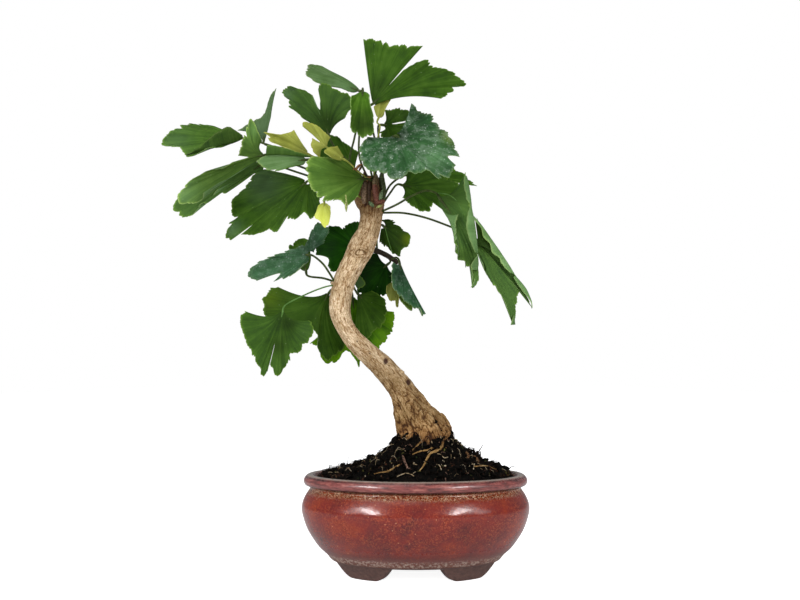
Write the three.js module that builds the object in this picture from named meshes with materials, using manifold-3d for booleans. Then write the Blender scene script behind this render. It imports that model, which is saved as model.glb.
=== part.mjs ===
// A ginkgo bonsai in an oval glazed pot on four feet.  Millimetres, +Z up.
// The plant is laid out round the middle of the pot: X to the right, Y away, Z up from a level 3 mm
// above the ground.  The last lines shift everything so that the origin is on the ground, under the
// middle of the whole tree.

import * as THREE from 'three';
import { mergeVertices } from 'three/addons/utils/BufferGeometryUtils.js';
import Module from 'manifold-3d';

const wasm = await Module();
wasm.setup();

// ---------------------------------------------------------------- driving dimensions

const MIDDLE_X = -49.8;           // middle of the tree's whole width, seen from the middle of the pot
const MIDDLE_Y = 0;
const GROUND = -3;

const GAP = 0.3;                 // air kept between pieces that touch
const TIDY = 0.04;               // facets flatter than this are merged

const POT_SLIM = 18;             // the oval's half depth is this much less than its half width
const POT_SIDES = 36;
const POT_FLOOR = 12;            // height of the inside floor
const POT_UNDER = 6;             // height of the underside
const DRAIN_RADIUS = 6;
const DRAIN_SPREAD = 24;         // drain holes, left and right of the middle

const FOOT_START = 0.18;         // a foot's two ends, as angles from the long axis, in right angles
const FOOT_END = 0.80;
const FOOT_RADIUS = 55;          // the oval's half width at the top of the feet
const FOOT_STEPS = 7;
const FOOT_WALL = 9;             // thickness of a foot across the rim of the base
const FOOT_TAPER = 6;            // how far a foot leans in at the ground

const SOIL_SIDES = 32;
const SOIL_EDGE = 59.5;          // height of the soil where it meets the pot
const SOIL_RINGS = 7;
const SOIL_LUMP = 1;             // height of the crumbs in the soil's surface
const HILL_HEIGHT = 42;          // the mound would peak this far above its edge, inside the trunk
const HILL_RADIUS = 21;          // distance at which it has fallen to half
const HILL_RIGHT = 3.3;          // how much further that is to the right
const BRIM_FALL = 9;             // how suddenly the soil drops to the pot's rim

const BARK_SIDES = 12;
const BARK_STEPS = 34;
const ROOT_SIDES = 5;
const SCALE_SIDES = 4;

const STALK_SIDES = 5;
const STALK_RADIUS = 0.8;
const STALK_STEP = 11;
const SEAT_RADIUS = 1.2;
const BLADE_THICKNESS = 0.8;
const BLADE_ROWS = 3;
const BLADE_STEP = 7.7;            // spacing of a leaf's rays along its edge
const SEAT_AHEAD = 4;            // the blade starts this far from the end of its stalk
const SEAT_WIDTH = 3;
const SEAT_ROUND = 2.6;          // a fan of more than half a turn starts on an arc of this radius
const TOOTH = 0.055;             // depth of the cut edge, as a share of the ray
const YOUNG_STEP = 5;
const YOUNG_ROWS = 2;

const GLAZE = 0x8a3b2e;
const PEAT = 0x1d1814;
const BARK = 0xa68d6b;
const LEAF_GREEN = 0x3b6b22;
const LEAF_YOUNG = 0xb5b33c;
const LEAF_BRIGHT = 0x7f9f2c;

// ---------------------------------------------------------------- solids

const point = (values) => new THREE.Vector3(values[0], values[1], values[2]);

// A closed three.js geometry as a manifold solid.
function solidOf(geometry) {
  const bare = geometry.clone();
  bare.deleteAttribute('normal');
  bare.deleteAttribute('uv');
  const merged = mergeVertices(bare, 1e-5);
  return new wasm.Manifold(new wasm.Mesh({
    numProp: 3,
    vertProperties: new Float32Array(merged.attributes.position.array),
    triVerts: new Uint32Array(merged.index.array),
  }));
}

// A manifold solid as a named three.js mesh.
function meshOf(name, solid, color, roughness) {
  const data = solid.getMesh();
  const geometry = new THREE.BufferGeometry();
  geometry.setAttribute('position', new THREE.BufferAttribute(new Float32Array(data.vertProperties), 3));
  geometry.setIndex(new THREE.BufferAttribute(new Uint32Array(data.triVerts), 1));
  geometry.computeVertexNormals();
  const material = new THREE.MeshStandardMaterial({ color, roughness, metalness: 0 });
  const mesh = new THREE.Mesh(geometry, material);
  mesh.name = name;
  return mesh;
}

// The main body of a solid, without the crumbs that a cut can leave.
function mainBody(solid) {
  const bodies = solid.decompose();
  bodies.sort((a, b) => b.volume() - a.volume());
  return bodies[0];
}

function geometryFrom(points, triangles) {
  const geometry = new THREE.BufferGeometry();
  geometry.setFromPoints(points);
  geometry.setIndex(triangles);
  return geometry;
}

// A closed body through rings of points.  Each ring has the same number of points and turns
// counter-clockwise seen from the last ring.
function loft(rings) {
  const sides = rings[0].length;
  const points = rings.flat();
  const triangles = [];
  for (let ring = 0; ring < rings.length - 1; ring += 1) {
    for (let side = 0; side < sides; side += 1) {
      const low = ring * sides + side;
      const lowNext = ring * sides + (side + 1) % sides;
      triangles.push(low, lowNext, lowNext + sides, low, lowNext + sides, low + sides);
    }
  }
  const top = (rings.length - 1) * sides;
  for (let side = 1; side < sides - 1; side += 1) {
    triangles.push(0, side + 1, side);
    triangles.push(top, top + side, top + side + 1);
  }
  return geometryFrom(points, triangles);
}

// A round body along a list of [x, y, z, radius], smoothed.  relief(turn, along) scales the radius.
function limb(stations, { sides, steps, extra = 0, relief = () => 1 }) {
  const curve = new THREE.CatmullRomCurve3(stations.map(point), false, 'centripetal');
  const radii = new THREE.SplineCurve(stations.map((s, i) => new THREE.Vector2(i, s[3])));
  const rings = [];
  const across = new THREE.Vector3();
  for (let step = 0; step <= steps; step += 1) {
    const along = step / steps;
    const centre = curve.getPoint(along);
    const tangent = curve.getTangent(along);
    if (step === 0) {
      across.set(1, 0, 0);
      if (Math.abs(tangent.x) > 0.9) across.set(0, 1, 0);
    }
    across.addScaledVector(tangent, -across.dot(tangent)).normalize();
    const other = new THREE.Vector3().crossVectors(tangent, across);
    const radius = radii.getPoint(along).y;
    const ring = [];
    for (let side = 0; side < sides; side += 1) {
      const turn = 2 * Math.PI * side / sides;
      const reach = radius * relief(turn, along) + extra;
      ring.push(centre.clone()
        .addScaledVector(across, reach * Math.cos(turn))
        .addScaledVector(other, reach * Math.sin(turn)));
    }
    rings.push(ring);
  }
  return solidOf(loft(rings));
}

// ---------------------------------------------------------------- pot

// Half width and height of the wall, up the outside and over the lip, then down the inside.
const OUTSIDE = [
  [0, POT_UNDER], [52.6, POT_UNDER], [55.4, 7.2], [58.2, 10.4], [63, 14.8], [67.2, 20.2], [70.8, 26],
  [73.4, 32.5], [75, 39.6], [74.4, 43.8], [72.4, 47.8], [70.1, 50.6], [69.3, 52.2],
  [70.9, 53.4], [73, 54.6], [73.8, 57.2], [73, 60], [70.8, 61.8], [68.2, 61.6], [66.2, 59.6],
];
const INSIDE = [
  [64.4, 54], [68.6, 41], [68, 31], [63.4, 20.5], [56.4, POT_FLOOR], [0, POT_FLOOR],
];

function ovalPoint(halfWidth, turn, height) {
  const halfDepth = Math.max(0, halfWidth - POT_SLIM);
  return new THREE.Vector3(halfWidth * Math.cos(turn), halfDepth * Math.sin(turn), height);
}

// A lathe turned about Z, then drawn in to the pot's oval.
function ovalLathe(profile) {
  const geometry = new THREE.LatheGeometry(profile.map(([r, z]) => new THREE.Vector2(r, z)), POT_SIDES);
  const place = geometry.attributes.position;
  for (let i = 0; i < place.count; i += 1) {
    const halfWidth = Math.hypot(place.getX(i), place.getZ(i));
    const turn = Math.atan2(-place.getZ(i), place.getX(i));
    const moved = ovalPoint(halfWidth, turn, place.getY(i));
    place.setXYZ(i, moved.x, moved.y, moved.z);
  }
  return solidOf(geometry);
}

// A foot is a piece of the wall below the base.  Its lower edge curves down to a flat middle.
function foot(quarter) {
  const rings = [];
  for (let step = 0; step <= FOOT_STEPS; step += 1) {
    const share = step / FOOT_STEPS;
    const side = FOOT_START + (FOOT_END - FOOT_START) * share;
    const turn = (Math.PI / 2) * (quarter % 2 ? quarter + 1 - side : quarter + side);
    const drop = Math.min(1, 1.32 * Math.sin(Math.PI * share) ** 1.5);
    const low = GROUND + (POT_UNDER + 0.5 - GROUND) * (1 - drop);
    const outside = FOOT_RADIUS - FOOT_TAPER * drop;
    const high = POT_UNDER + 1.2;
    const section = [
      ovalPoint(FOOT_RADIUS, turn, high),
      ovalPoint(FOOT_RADIUS - FOOT_WALL, turn, high),
      ovalPoint(outside - FOOT_WALL + 2.5 * drop, turn, low),
      ovalPoint(outside, turn, low),
    ];
    rings.push(section);
  }
  if (quarter % 2 === 0) rings.reverse();
  return solidOf(loft(rings));
}

function drainHole(side) {
  const hole = new THREE.CylinderGeometry(DRAIN_RADIUS, DRAIN_RADIUS, POT_FLOOR, 16);
  hole.rotateX(Math.PI / 2);
  hole.translate(side * DRAIN_SPREAD, 0, POT_FLOOR - 2);
  return solidOf(hole);
}

function buildPot() {
  let pot = ovalLathe([...OUTSIDE, ...INSIDE]);
  for (let quarter = 0; quarter < 4; quarter += 1) pot = pot.add(foot(quarter));
  for (const side of [-1, 1]) pot = pot.subtract(drainHole(side));
  return pot.simplify(TIDY);
}

// ---------------------------------------------------------------- trunk

// Middle of the trunk and its radius, from inside the soil to the bud crown.
const TRUNK = [
  [8, 0, 76, 19], [6, 0, 84, 18], [3.8, 0, 90.5, 16.4], [-0.2, 0, 98, 14], [-3.8, 0, 106, 11.6],
  [-7.6, 0, 114, 9.3], [-13.6, -1, 122.6, 8.1], [-21, -2, 131.3, 7.6], [-29.6, -3, 139.6, 7.1],
  [-39, -3, 148.2, 6.5], [-46, -2, 157.5, 6.1], [-50, -1, 167.5, 6.7], [-50.4, 0, 178, 7.3],
  [-47.4, 1, 191, 7.6], [-41, 1, 203.5, 8.1], [-36.4, 1, 213.8, 8.8], [-31.6, 0, 224.5, 7.5],
  [-29.8, 0, 237, 7.9], [-30.6, 0, 246.5, 10.4], [-30, 0, 254, 9.2], [-29.2, 0, 261, 5.5],
];

// Shoots that the leaves of the lower trunk grow on: one behind the trunk and two short spurs.
const SHOOTS = [
  [[-38, 2, 213, 3.4], [-29, 9, 212.5, 2.2], [-19, 14, 209, 1.8], [-11.5, 15, 204, 1.5]],
  [[-47, 0, 189, 3.2], [-53, 0, 188.6, 2.4], [-57, 0.5, 188, 1.6]],
  [[-47, 2, 188, 3.2], [-45.5, 8, 188, 2.4], [-44.5, 12, 187.6, 1.6]],
];

// Roots that show on the mound: [x, y, lift of the root's middle over the soil, radius].
const ROOTS = [
  [[18, -9, -2, 2.2], [20.5, -15, 1, 2.4], [18, -22, 0.9, 2], [9, -30, 0.6, 1.6], [1, -40, -0.6, 1.1]],
  [[9, -14, -1, 1.8], [9, -19, 0.6, 1.8], [2, -25, 0.5, 1.4], [-9, -31, -0.4, 1]],
  [[-5, -12, -2, 2], [-9, -19, 0.6, 2], [-9, -28, 0.5, 1.6], [-15, -38, -0.5, 1.1]],
  [[20, -2, -2, 2.2], [28, -4, 0.6, 2.2], [38, -10, 0.4, 1.6], [50, -18, -0.5, 1.1]],
  [[9, 14, -2, 2.2], [11, 22, 0.6, 2.2], [5, 35, -0.4, 1.3]],
  [[-8, 8, -2, 2.2], [-16, 12, 0.6, 2.1], [-32, 19, -0.4, 1.3]],
];

// Bud scales and stubs on the crown: [turn in degrees, height, length, radius, lean outwards].
const BUD_SCALES = [
  [20, 254, 10, 2.6, 0.5], [75, 252, 11, 2.8, 0.5], [130, 255, 9, 2.4, 0.6], [185, 250, 10, 3, 0.7],
  [240, 252, 12, 2.8, 0.4], [285, 255, 14, 2.9, 0.3], [325, 250, 9, 2.6, 0.6], [262, 243, 7, 2.2, 1.2],
  [300, 240, 6, 2.1, 1.4], [170, 243, 8, 2.6, 1.3], [40, 243, 7, 2.4, 1.3],
];

// Cut stubs and knots on the stem: [x, y, z] where it leaves the wood, [x, y, z] of its tip, radius.
const KNOTS = [
  [[-12, -3, 125], [-6.5, -4, 131.5], 2.3],
  [[-42, -4, 213], [-46.5, -7, 214.5], 3],
  [[-30, -4, 219], [-26.5, -8, 217], 2.6],
  [[-2, -7, 104], [-3, -11, 102], 3],
];

const ROOT_HEART = new THREE.Vector3(5, 0, 84);

// Shallow ridges that wander up the bark, and burls that swell the foot of the trunk.
function barkRelief(turn, along) {
  const ridges = 0.035 * Math.sin(5 * turn + 9 * along) + 0.02 * Math.sin(8 * turn - 14 * along);
  const burl = Math.max(0, 0.22 - along) * (0.55 * Math.sin(4 * turn + 0.6) + 0.3 * Math.sin(7 * turn));
  const fade = Math.min(1, 12 * along, 12 * (1 - along));
  return 1 + fade * (ridges + burl);
}

function budScale([degrees, height, length, radius, lean], extra) {
  const turn = THREE.MathUtils.degToRad(degrees);
  const out = new THREE.Vector3(Math.cos(turn), Math.sin(turn), 0);
  const start = new THREE.Vector3(-30, 0, height).addScaledVector(out, 6);
  const middle = start.clone().addScaledVector(out, lean * length * 0.35);
  const tip = start.clone().addScaledVector(out, lean * length * 0.45);
  middle.z += length * 0.55;
  tip.z += length;
  const stations = [[...start, radius], [...middle, radius * 0.85], [...tip, 0.5]];
  return limb(stations, { sides: SCALE_SIDES, steps: 2, extra });
}

// The whole woody part.  extra makes it fatter, to cut its own room out of what it passes through.
function buildWood(extra = 0) {
  let wood = limb(TRUNK, { sides: BARK_SIDES, steps: BARK_STEPS, extra, relief: barkRelief });
  for (const shoot of SHOOTS) wood = wood.add(limb(shoot, { sides: ROOT_SIDES, steps: 5, extra }));
  for (const root of ROOTS) {
    const laid = root.map(([x, y, lift, radius]) => [x, y, soilHeight(x, y) + lift, radius]);
    wood = wood.add(limb(laid, { sides: ROOT_SIDES, steps: 6, extra }));
  }
  for (const scale of BUD_SCALES) wood = wood.add(budScale(scale, extra));
  for (const [from, to, radius] of KNOTS) {
    wood = wood.add(limb([[...from, radius * 1.3], [...to, radius * 0.7]], { sides: 6, steps: 1, extra }));
  }
  return wood.simplify(TIDY);
}

// ---------------------------------------------------------------- soil

// Half width of the pot's inside at a height, less the gap.
function insideHalfWidth(height) {
  for (let i = 1; i < INSIDE.length; i += 1) {
    const [upperWidth, upper] = INSIDE[i - 1];
    const [lowerWidth, lower] = INSIDE[i];
    if (height <= upper && height >= lower && upper > lower) {
      return lowerWidth + (upperWidth - lowerWidth) * (height - lower) / (upper - lower) - GAP;
    }
  }
  return INSIDE[0][0] - GAP;
}

// The mound rises to the foot of the trunk, which stands a little right of the middle, and runs
// out to the pot's rim all round.
function soilHeight(x, y) {
  const brim = insideHalfWidth(SOIL_EDGE);
  const share = Math.hypot(x / brim, y / (brim - POT_SLIM));
  const away = Math.hypot(x - ROOT_HEART.x, y - ROOT_HEART.y);
  const right = Math.max(0, x - ROOT_HEART.x) / Math.max(away, 1);
  const hill = HILL_HEIGHT / (1 + (away / (HILL_RADIUS + HILL_RIGHT * right)) ** 2.1);
  const along = Math.sin(0.41 * x + 1.7 * Math.sin(0.23 * y));
  const lumps = along * Math.cos(0.37 * y + 1.3 * Math.sin(0.31 * x));
  return SOIL_EDGE + (hill + SOIL_LUMP * lumps) * (1 - Math.min(1, share) ** BRIM_FALL);
}

function soilRing(halfWidth, heightAt) {
  const ring = [];
  for (let side = 0; side < SOIL_SIDES; side += 1) {
    const spot = ovalPoint(halfWidth, 2 * Math.PI * side / SOIL_SIDES, 0);
    spot.z = heightAt(spot);
    ring.push(spot);
  }
  return ring;
}

function buildSoil(wood) {
  const rings = [POT_FLOOR + GAP, 20.5, 31, 41, 54].map((height) => (
    soilRing(insideHalfWidth(height), () => height)));
  const brim = soilRing(insideHalfWidth(SOIL_EDGE), () => SOIL_EDGE);
  for (let ring = 0; ring < SOIL_RINGS; ring += 1) {
    rings.push(brim.map((edge) => {
      const spot = edge.clone().multiplyScalar(1 - ring / SOIL_RINGS);
      spot.z = soilHeight(spot.x, spot.y);
      return spot;
    }));
  }
  return mainBody(solidOf(loft(rings)).subtract(wood).simplify(TIDY));
}

// ---------------------------------------------------------------- leaves

// Each leaf: its stalk from the wood to the blade, the foot of the blade, and the edge of each lobe
// as points from one side round to the other.  cuts gives, for each cleft between two lobes, the
// share of the ray that the cut leaves.  flare keeps the foot of the fan narrow, and may change from
// its first ray to its last; arch lifts its middle.
const LEAVES = {
  leaf_crown_top: {
    stalk: [[-28, 3, 255], [-26, 8, 280], [-30, 9, 300]],
    foot: [-31.5, 6, 311.5],
    lobes: [
      [[-35.5, 16, 363.5], [-30, 11, 363], [-22, 8, 360.5], [-16, 4, 355], [-10, 4, 356], [-2, 2, 354],
        [6, 2, 353.5]],
      [[-7, 2, 336.5], [0.5, 0, 340.5], [9, -2, 342.5], [16.5, -2, 338.5], [24.5, -5.5, 334],
        [31.5, -6, 328.5], [36, -6, 323], [28, -4.5, 322.5], [26, -4, 319], [18, -2, 315]],
    ],
    cuts: [0.5],
    flare: [0.06, 0.45],
  },
  leaf_crown_left: {
    stalk: [[-33, 4, 255], [-45, 10, 272], [-42, 10, 290], [-37, 6, 310]],
    foot: [-36, 3, 321],
    lobes: [
      [[-60, 17, 341.5], [-67.5, 18, 345], [-74, 20, 346.5], [-78.5, 14, 341.5], [-77.5, 13.5, 337],
        [-72.5, 11, 332], [-67.5, 9.5, 329], [-59.5, 9.5, 329.5], [-49, 8, 327.5]],
    ],
    flare: 0.3,
  },
  leaf_crown_tongue: {
    stalk: [[-31, 0, 258], [-38, 3, 276], [-37, 3, 305], [-36, -1, 318]],
    foot: [-35.5, -7, 320.5],
    lobes: [
      [[-41, -20, 311], [-43, -22.5, 302.5], [-43, -27, 294], [-43, -30, 286.5], [-41, -31.5, 283],
        [-36, -33, 280.5], [-31.5, -32.5, 279], [-27, -31.5, 281.5], [-26.5, -29.5, 288.5],
        [-29, -26, 298.5], [-31, -20, 310.5]],
    ],
    flare: 0.2,
  },
  leaf_crown_fan: {
    stalk: [[-32, -1, 255], [-43, 3, 270], [-54, 4, 281]],
    foot: [-58, 3, 288],
    lobes: [
      [[-77.5, 2, 302.5], [-82.5, 3.5, 307.5], [-88, 4, 311.5], [-88, 5.5, 317.5], [-92.5, 6, 321.5],
        [-90, 9.5, 328], [-82, 7.5, 326], [-75, 8, 324], [-72, 6, 319.5]],
      [[-66, 5.5, 317], [-66, 3, 326], [-60.5, 2, 328.5], [-56.5, 2.5, 324], [-50.5, 2, 322.5],
        [-45.5, 2, 320], [-42, 1, 316.5], [-42, 0, 310.5], [-47.5, 0, 301.5]],
    ],
    cuts: [0.7],
    flare: 0.42,
  },
  leaf_crown_back: {
    stalk: [[-26, 6, 255], [-22, 15, 275], [-25, 14, 292]],
    foot: [-25, 11, 300],
    lobes: [
      [[-21, 8, 310.5], [-14, 12, 313], [-7, 15, 314], [-3.5, 16, 311.5], [-4, 16.5, 306.5],
        [-9, 15, 305]],
      [[-4.5, 18, 303.5], [-7, 11.5, 294], [-12.5, 9.5, 286.5], [-21, 8, 287.5], [-26.5, 10.5, 294]],
    ],
    cuts: [0.45],
    flare: 0.3,
  },
  leaf_crown_rear: {
    stalk: [[-32, 8, 247], [-37, 12, 257]],
    foot: [-40, 14, 268],
    lobes: [
      [[-39, 20, 283], [-48, 24, 290], [-57, 26, 297], [-66, 26, 295], [-70, 24, 287], [-68, 20, 279],
        [-60, 15, 272]],
    ],
    flare: 0.3,
  },
  leaf_left_far: {
    stalk: [[-37, 6, 254], [-66, 15, 272], [-95, 17, 285]],
    foot: [-119, 16, 292],
    lobes: [
      [[-143.5, 29.5, 304], [-150.5, 29, 305.5], [-162.5, 34, 308], [-170, 26.5, 302],
        [-179.5, 28, 295.5], [-179.5, 24, 288.5], [-164.5, 14, 284], [-158.5, 10, 278], [-146, 3, 281],
        [-134.5, 9.5, 284]],
    ],
    flare: 0.25,
  },
  leaf_left_upright: {
    stalk: [[-33, 6, 259], [-66, 24, 279], [-92, 29, 288]],
    foot: [-107, 27, 291],
    lobes: [
      [[-129.5, 44.5, 305.5], [-121.5, 41.5, 308.5], [-115.5, 42.5, 312.5], [-110.5, 38.5, 314.5],
        [-107, 35, 320], [-104, 32.5, 327], [-99.5, 32, 334.5], [-101.5, 32, 323]],
    ],
    flare: 0.3,
  },
  leaf_left_front: {
    stalk: [[-36, -4, 250], [-64, -4, 262], [-84, -3, 270]],
    foot: [-99, -3, 276],
    lobes: [
      [[-104.5, 2, 286.5], [-108.5, 1, 297.5], [-113, 3, 303], [-115.5, -4, 293], [-117.5, -5, 286],
        [-119, -12.5, 272]],
      [[-127.5, -21, 263.5], [-135.5, -22.5, 261], [-144, -26.5, 254.5], [-151, -28, 248.5],
        [-155.5, -28.5, 241.5], [-153, -29, 236.5], [-146.5, -30, 237], [-140, -31, 240],
        [-137, -28.5, 244.5], [-133.5, -28.5, 247.5]],
    ],
    cuts: [0.55],
    flare: 0.3,
  },
  leaf_left_long: {
    stalk: [[-37, 1, 249], [-65, 4, 260], [-88, 5, 268]],
    foot: [-101, 4, 273],
    lobes: [
      [[-145, -10, 256.5], [-158, -11, 245.5], [-162, -12, 237], [-156.5, -12, 231.5],
        [-150, -11, 232.5], [-143.5, -10, 239.5], [-139, -9.5, 241], [-133.5, -5.5, 250.5],
        [-129.5, -5, 248], [-126, -1.5, 255], [-121.5, 1, 261], [-114.5, 4.5, 271]],
    ],
    flare: 0.25,
  },
  leaf_left_broad: {
    stalk: [[-38, 3, 246], [-55, 3, 253]],
    foot: [-73, 3, 259],
    lobes: [
      [[-96.5, 9, 267], [-109.5, 12.5, 269], [-120, 14, 255.5], [-127.5, 10.5, 245], [-127, 9, 237.5],
        [-125.5, 7.5, 232], [-129, 5, 226.5], [-129.5, 5, 219.5], [-126, 4.5, 218]],
      [[-119, 3, 222], [-110.5, 2, 221.5], [-100.5, -0.5, 224], [-93.5, -2, 222.5], [-88, -2.5, 231],
        [-82.5, -3, 230], [-75, -3, 235], [-70, -4, 231], [-63.5, -2, 239.5], [-62, -2, 246.5]],
    ],
    cuts: [0.86],
    flare: 0.1,
    round: true,
  },
  leaf_left_mid: {
    stalk: [[-36, -5, 253], [-54, -7, 265]],
    foot: [-70, -9, 271],
    lobes: [
      [[-103, -14, 281.5], [-106, -17, 274.5], [-107, -18, 268], [-101.5, -19, 261.5],
        [-93.5, -17, 259], [-84.5, -15.5, 263.5], [-79, -13.5, 265.5]],
    ],
    flare: 0.3,
  },
  leaf_centre: {
    stalk: [[-29, -4, 252], [-29, -8, 256]],
    foot: [-31, -12, 257],
    lobes: [
      [[-47.5, -12, 272], [-61, -15, 271.5], [-71.5, -21, 268.5], [-72.5, -26, 258],
        [-68, -28.5, 247.5], [-64.5, -30, 242], [-56.5, -30.5, 238], [-51, -28, 239.5],
        [-45, -27, 235.5], [-38, -21.5, 243.5]],
    ],
    flare: 0.2,
  },
  leaf_right_dusty: {
    stalk: [[-28, -5, 256], [-30, -12, 268], [-23, -16, 279]],
    foot: [-13, -18, 285],
    lobes: [
      [[-32, -24.5, 282.5], [-36, -30, 276], [-37.5, -31, 269], [-34.5, -37.5, 261.5], [-29, -38, 257],
        [-20.5, -39, 254.5], [-16, -43, 250.5], [-9, -43.5, 250.5], [-3.5, -39, 255.5], [1.5, -39, 254],
        [7.5, -41.5, 256], [16, -42.5, 250.5], [23.5, -36, 254.5], [26, -35, 260.5]],
      [[29, -26.5, 267.5], [26.5, -22, 278], [23.5, -20.5, 285], [17.5, -12, 293.5], [14, -10, 301],
        [6.5, -6, 304.5], [-2.5, -3.5, 311]],
    ],
    cuts: [0.9],
    flare: 0.05,
    round: true,
    arch: [0, -4, 0],
  },
  leaf_right_under: {
    stalk: [[-22, 3, 243], [-17, 5, 251]],
    foot: [-12, 5, 257],
    lobes: [
      [[-7, 12.5, 268], [8, 18.5, 273.5], [22.5, 18, 267.5], [33.5, 12, 255], [30, 8.5, 249.5],
        [26, 4, 239.5], [18, 0, 237.5]],
      [[12.5, -2, 242.5], [11.5, -3, 237], [3.5, -4, 237], [-4, -1, 242.5], [-8.5, -2, 246.5]],
    ],
    cuts: [0.85],
    flare: 0.3,
  },
  leaf_right_far: {
    stalk: [[-22, 7, 246], [-17, 12, 258], [-7, 18, 266]],
    foot: [4, 24, 267],
    lobes: [
      [[16, 30, 278], [30, 30, 273.5], [36, 25.5, 269.5], [40, 26.5, 264.5], [45, 24, 258.5],
        [35.5, 22, 261.5], [23, 20.5, 262]],
    ],
    flare: 0.3,
  },
  leaf_right_droop: {
    stalk: [[-22, -3, 237], [-12, -7, 241], [-2, -11, 246], [7, -13, 249]],
    foot: [14, -14, 247],
    lobes: [
      [[24, -23.5, 232.5], [27, -26, 220.5], [25.5, -28, 213], [26.5, -30, 205.5], [28, -28.5, 199.5],
        [32, -29, 193.5], [37.5, -25.5, 187.5], [36, -25, 182], [40, -25, 184.5], [41, -22.5, 199.5],
        [39.5, -24, 213.5], [37, -27, 230.5], [35.5, -24, 247.5], [32.5, -23.5, 259.5]],
    ],
    flare: 0.25,
    arch: [4, 3, 0],
  },
  leaf_right_hanging: {
    stalk: [[-22, 3, 237], [-8, 4, 237], [7, 5, 234], [24, 6, 228]],
    foot: [38, 6, 222],
    lobes: [
      [[45.5, -7.5, 200], [49, -2.5, 191], [53, -13, 182], [57, -10, 176.5], [61, -10.5, 171],
        [65, -8, 159], [69, 0, 174.5]],
      [[80.5, 16, 173], [77.5, 13, 184], [66.5, 9, 198.5], [58.5, 9, 211], [50.5, 13, 224],
        [42.5, 11.5, 235.5]],
    ],
    cuts: [0.7],
    flare: 0.2,
    arch: [3, 0, 0],
  },
  leaf_low_grey: {
    stalk: [[-54, -1, 189], [-57, -5, 194], [-62, -9, 201]],
    foot: [-69, -12, 206],
    lobes: [
      [[-61, -7, 214.5], [-57, -5.5, 223.5], [-59, -4, 228.5], [-64.5, -5, 230.5], [-71, -10, 219.5],
        [-73, -10.5, 215.5], [-85, -18, 208.5], [-101, -21, 202], [-108.5, -22, 196],
        [-109.5, -23, 189.5], [-103.5, -24, 187.5]],
      [[-92.5, -25, 187], [-86, -23.5, 189], [-79, -21.5, 192], [-72.5, -19, 198]],
    ],
    cuts: [0.8],
    flare: 0.05,
    round: true,
  },
  leaf_low_back: {
    stalk: [[-54, 1.5, 189.5], [-62, 2, 192]],
    foot: [-73, 3, 194],
    lobes: [
      [[-71, 8.5, 208.5], [-73, 11, 220], [-78.5, 12, 221.5], [-86, 10, 217], [-87.5, 9, 212],
        [-81.5, 6.5, 203.5]],
    ],
    flare: 0.3,
  },
  leaf_low_long: {
    stalk: [[-48, 3, 187], [-52, 7, 186]],
    foot: [-57, 9, 185],
    lobes: [
      [[-94.5, 12, 187.5], [-103, 11, 186.5], [-106.5, 10, 179], [-105, 8, 168.5]],
      [[-78.5, 4, 152.5], [-67, 5, 143.5], [-58, 7, 134.5], [-48, 13, 143.5], [-44.5, 17, 154.5]],
    ],
    cuts: [0.62],
    flare: 0.35,
  },
  leaf_low_front: {
    stalk: [[-54, -1.5, 187], [-60, -5, 185.5], [-73, -8, 180]],
    foot: [-87, -9, 172],
    lobes: [
      [[-114, -12, 169], [-116.5, -15, 162.5], [-115.5, -15.5, 154.5], [-109.5, -18, 143],
        [-102, -18, 129.5], [-98.5, -16, 124]],
      [[-92, -17.5, 124], [-86.5, -16.5, 129], [-82, -15.5, 131.5], [-82, -15, 137.5],
        [-75, -13.5, 140], [-73, -13, 145.5]],
    ],
    cuts: [0.55],
    flare: 0.35,
  },
  leaf_low_behind: {
    stalk: [[-30, 8, 213], [-32, 13, 214]],
    foot: [-35, 17, 214],
    lobes: [
      [[-32.5, 22, 236.5], [-43, 24, 235], [-50.5, 22.5, 232], [-60, 22, 231.5], [-68.5, 17, 220.5],
        [-69, 15.5, 209.5]],
      [[-60.5, 14, 201.5], [-58.5, 15, 197.5], [-54.5, 16.5, 198], [-49, 17.5, 203]],
    ],
    cuts: [0.88],
    flare: 0.2,
  },
  leaf_low_round: {
    stalk: [[-26, 9, 213], [-26, 10, 222]],
    foot: [-23, 11, 230],
    lobes: [
      [[-16, 13, 236], [-7.5, 15, 229], [-2, 13, 225], [-1, 12.5, 219.5], [-6.5, 11.5, 213.5],
        [-10.5, 10, 206], [-17.5, 14, 212.5], [-26.5, 17.5, 225]],
    ],
    flare: 0.2,
  },
  leaf_low_dark: {
    stalk: [[-20, 14, 209], [-18, 20, 208]],
    foot: [-17, 24, 206],
    lobes: [
      [[-27, 29, 215], [-39, 33, 207], [-44, 34, 195], [-40, 34, 184], [-28, 34, 180], [-18, 31, 185],
        [-14, 28, 197]],
    ],
    flare: 0.15,
  },
  leaf_low_blue: {
    stalk: [[-16, 14, 206.5], [-13, 9, 207]],
    foot: [-11, 5, 205],
    lobes: [
      [[-16.5, -6, 198], [-13.5, -10.5, 187], [-8, -8, 176], [-2, 2.5, 170], [5.5, 9, 163],
        [7.5, 14, 168], [4.5, 18, 177.5]],
    ],
    flare: 0.3,
  },
  leaf_low_pale: {
    stalk: [[-13.5, 13, 203], [-15, 12, 198]],
    foot: [-15, 11, 194],
    lobes: [
      [[-20, 8, 184.5], [-15.5, 7, 174], [-9.5, 7, 173], [-8, 9, 179], [-12, 9, 187]],
    ],
    flare: 0.2,
    tint: 'young',
  },
  leaf_low_under: {
    stalk: [[-12, 16.5, 203], [-12, 17, 196]],
    foot: [-11, 16.5, 190],
    lobes: [
      [[-12, 13, 180], [-7, 11, 173], [-2, 12, 170], [-1, 15, 178]],
    ],
    flare: 0.2,
    tint: 'bright',
  },
  leaf_low_shade: {
    stalk: [[-43, 10, 187.5], [-42, 13, 187]],
    foot: [-41, 16, 185],
    lobes: [
      [[-30, 21, 185], [-20, 23, 179], [-19, 22, 167], [-26, 20, 155], [-34, 19, 150], [-43, 19, 153]],
    ],
    flare: 0.2,
  },
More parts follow.
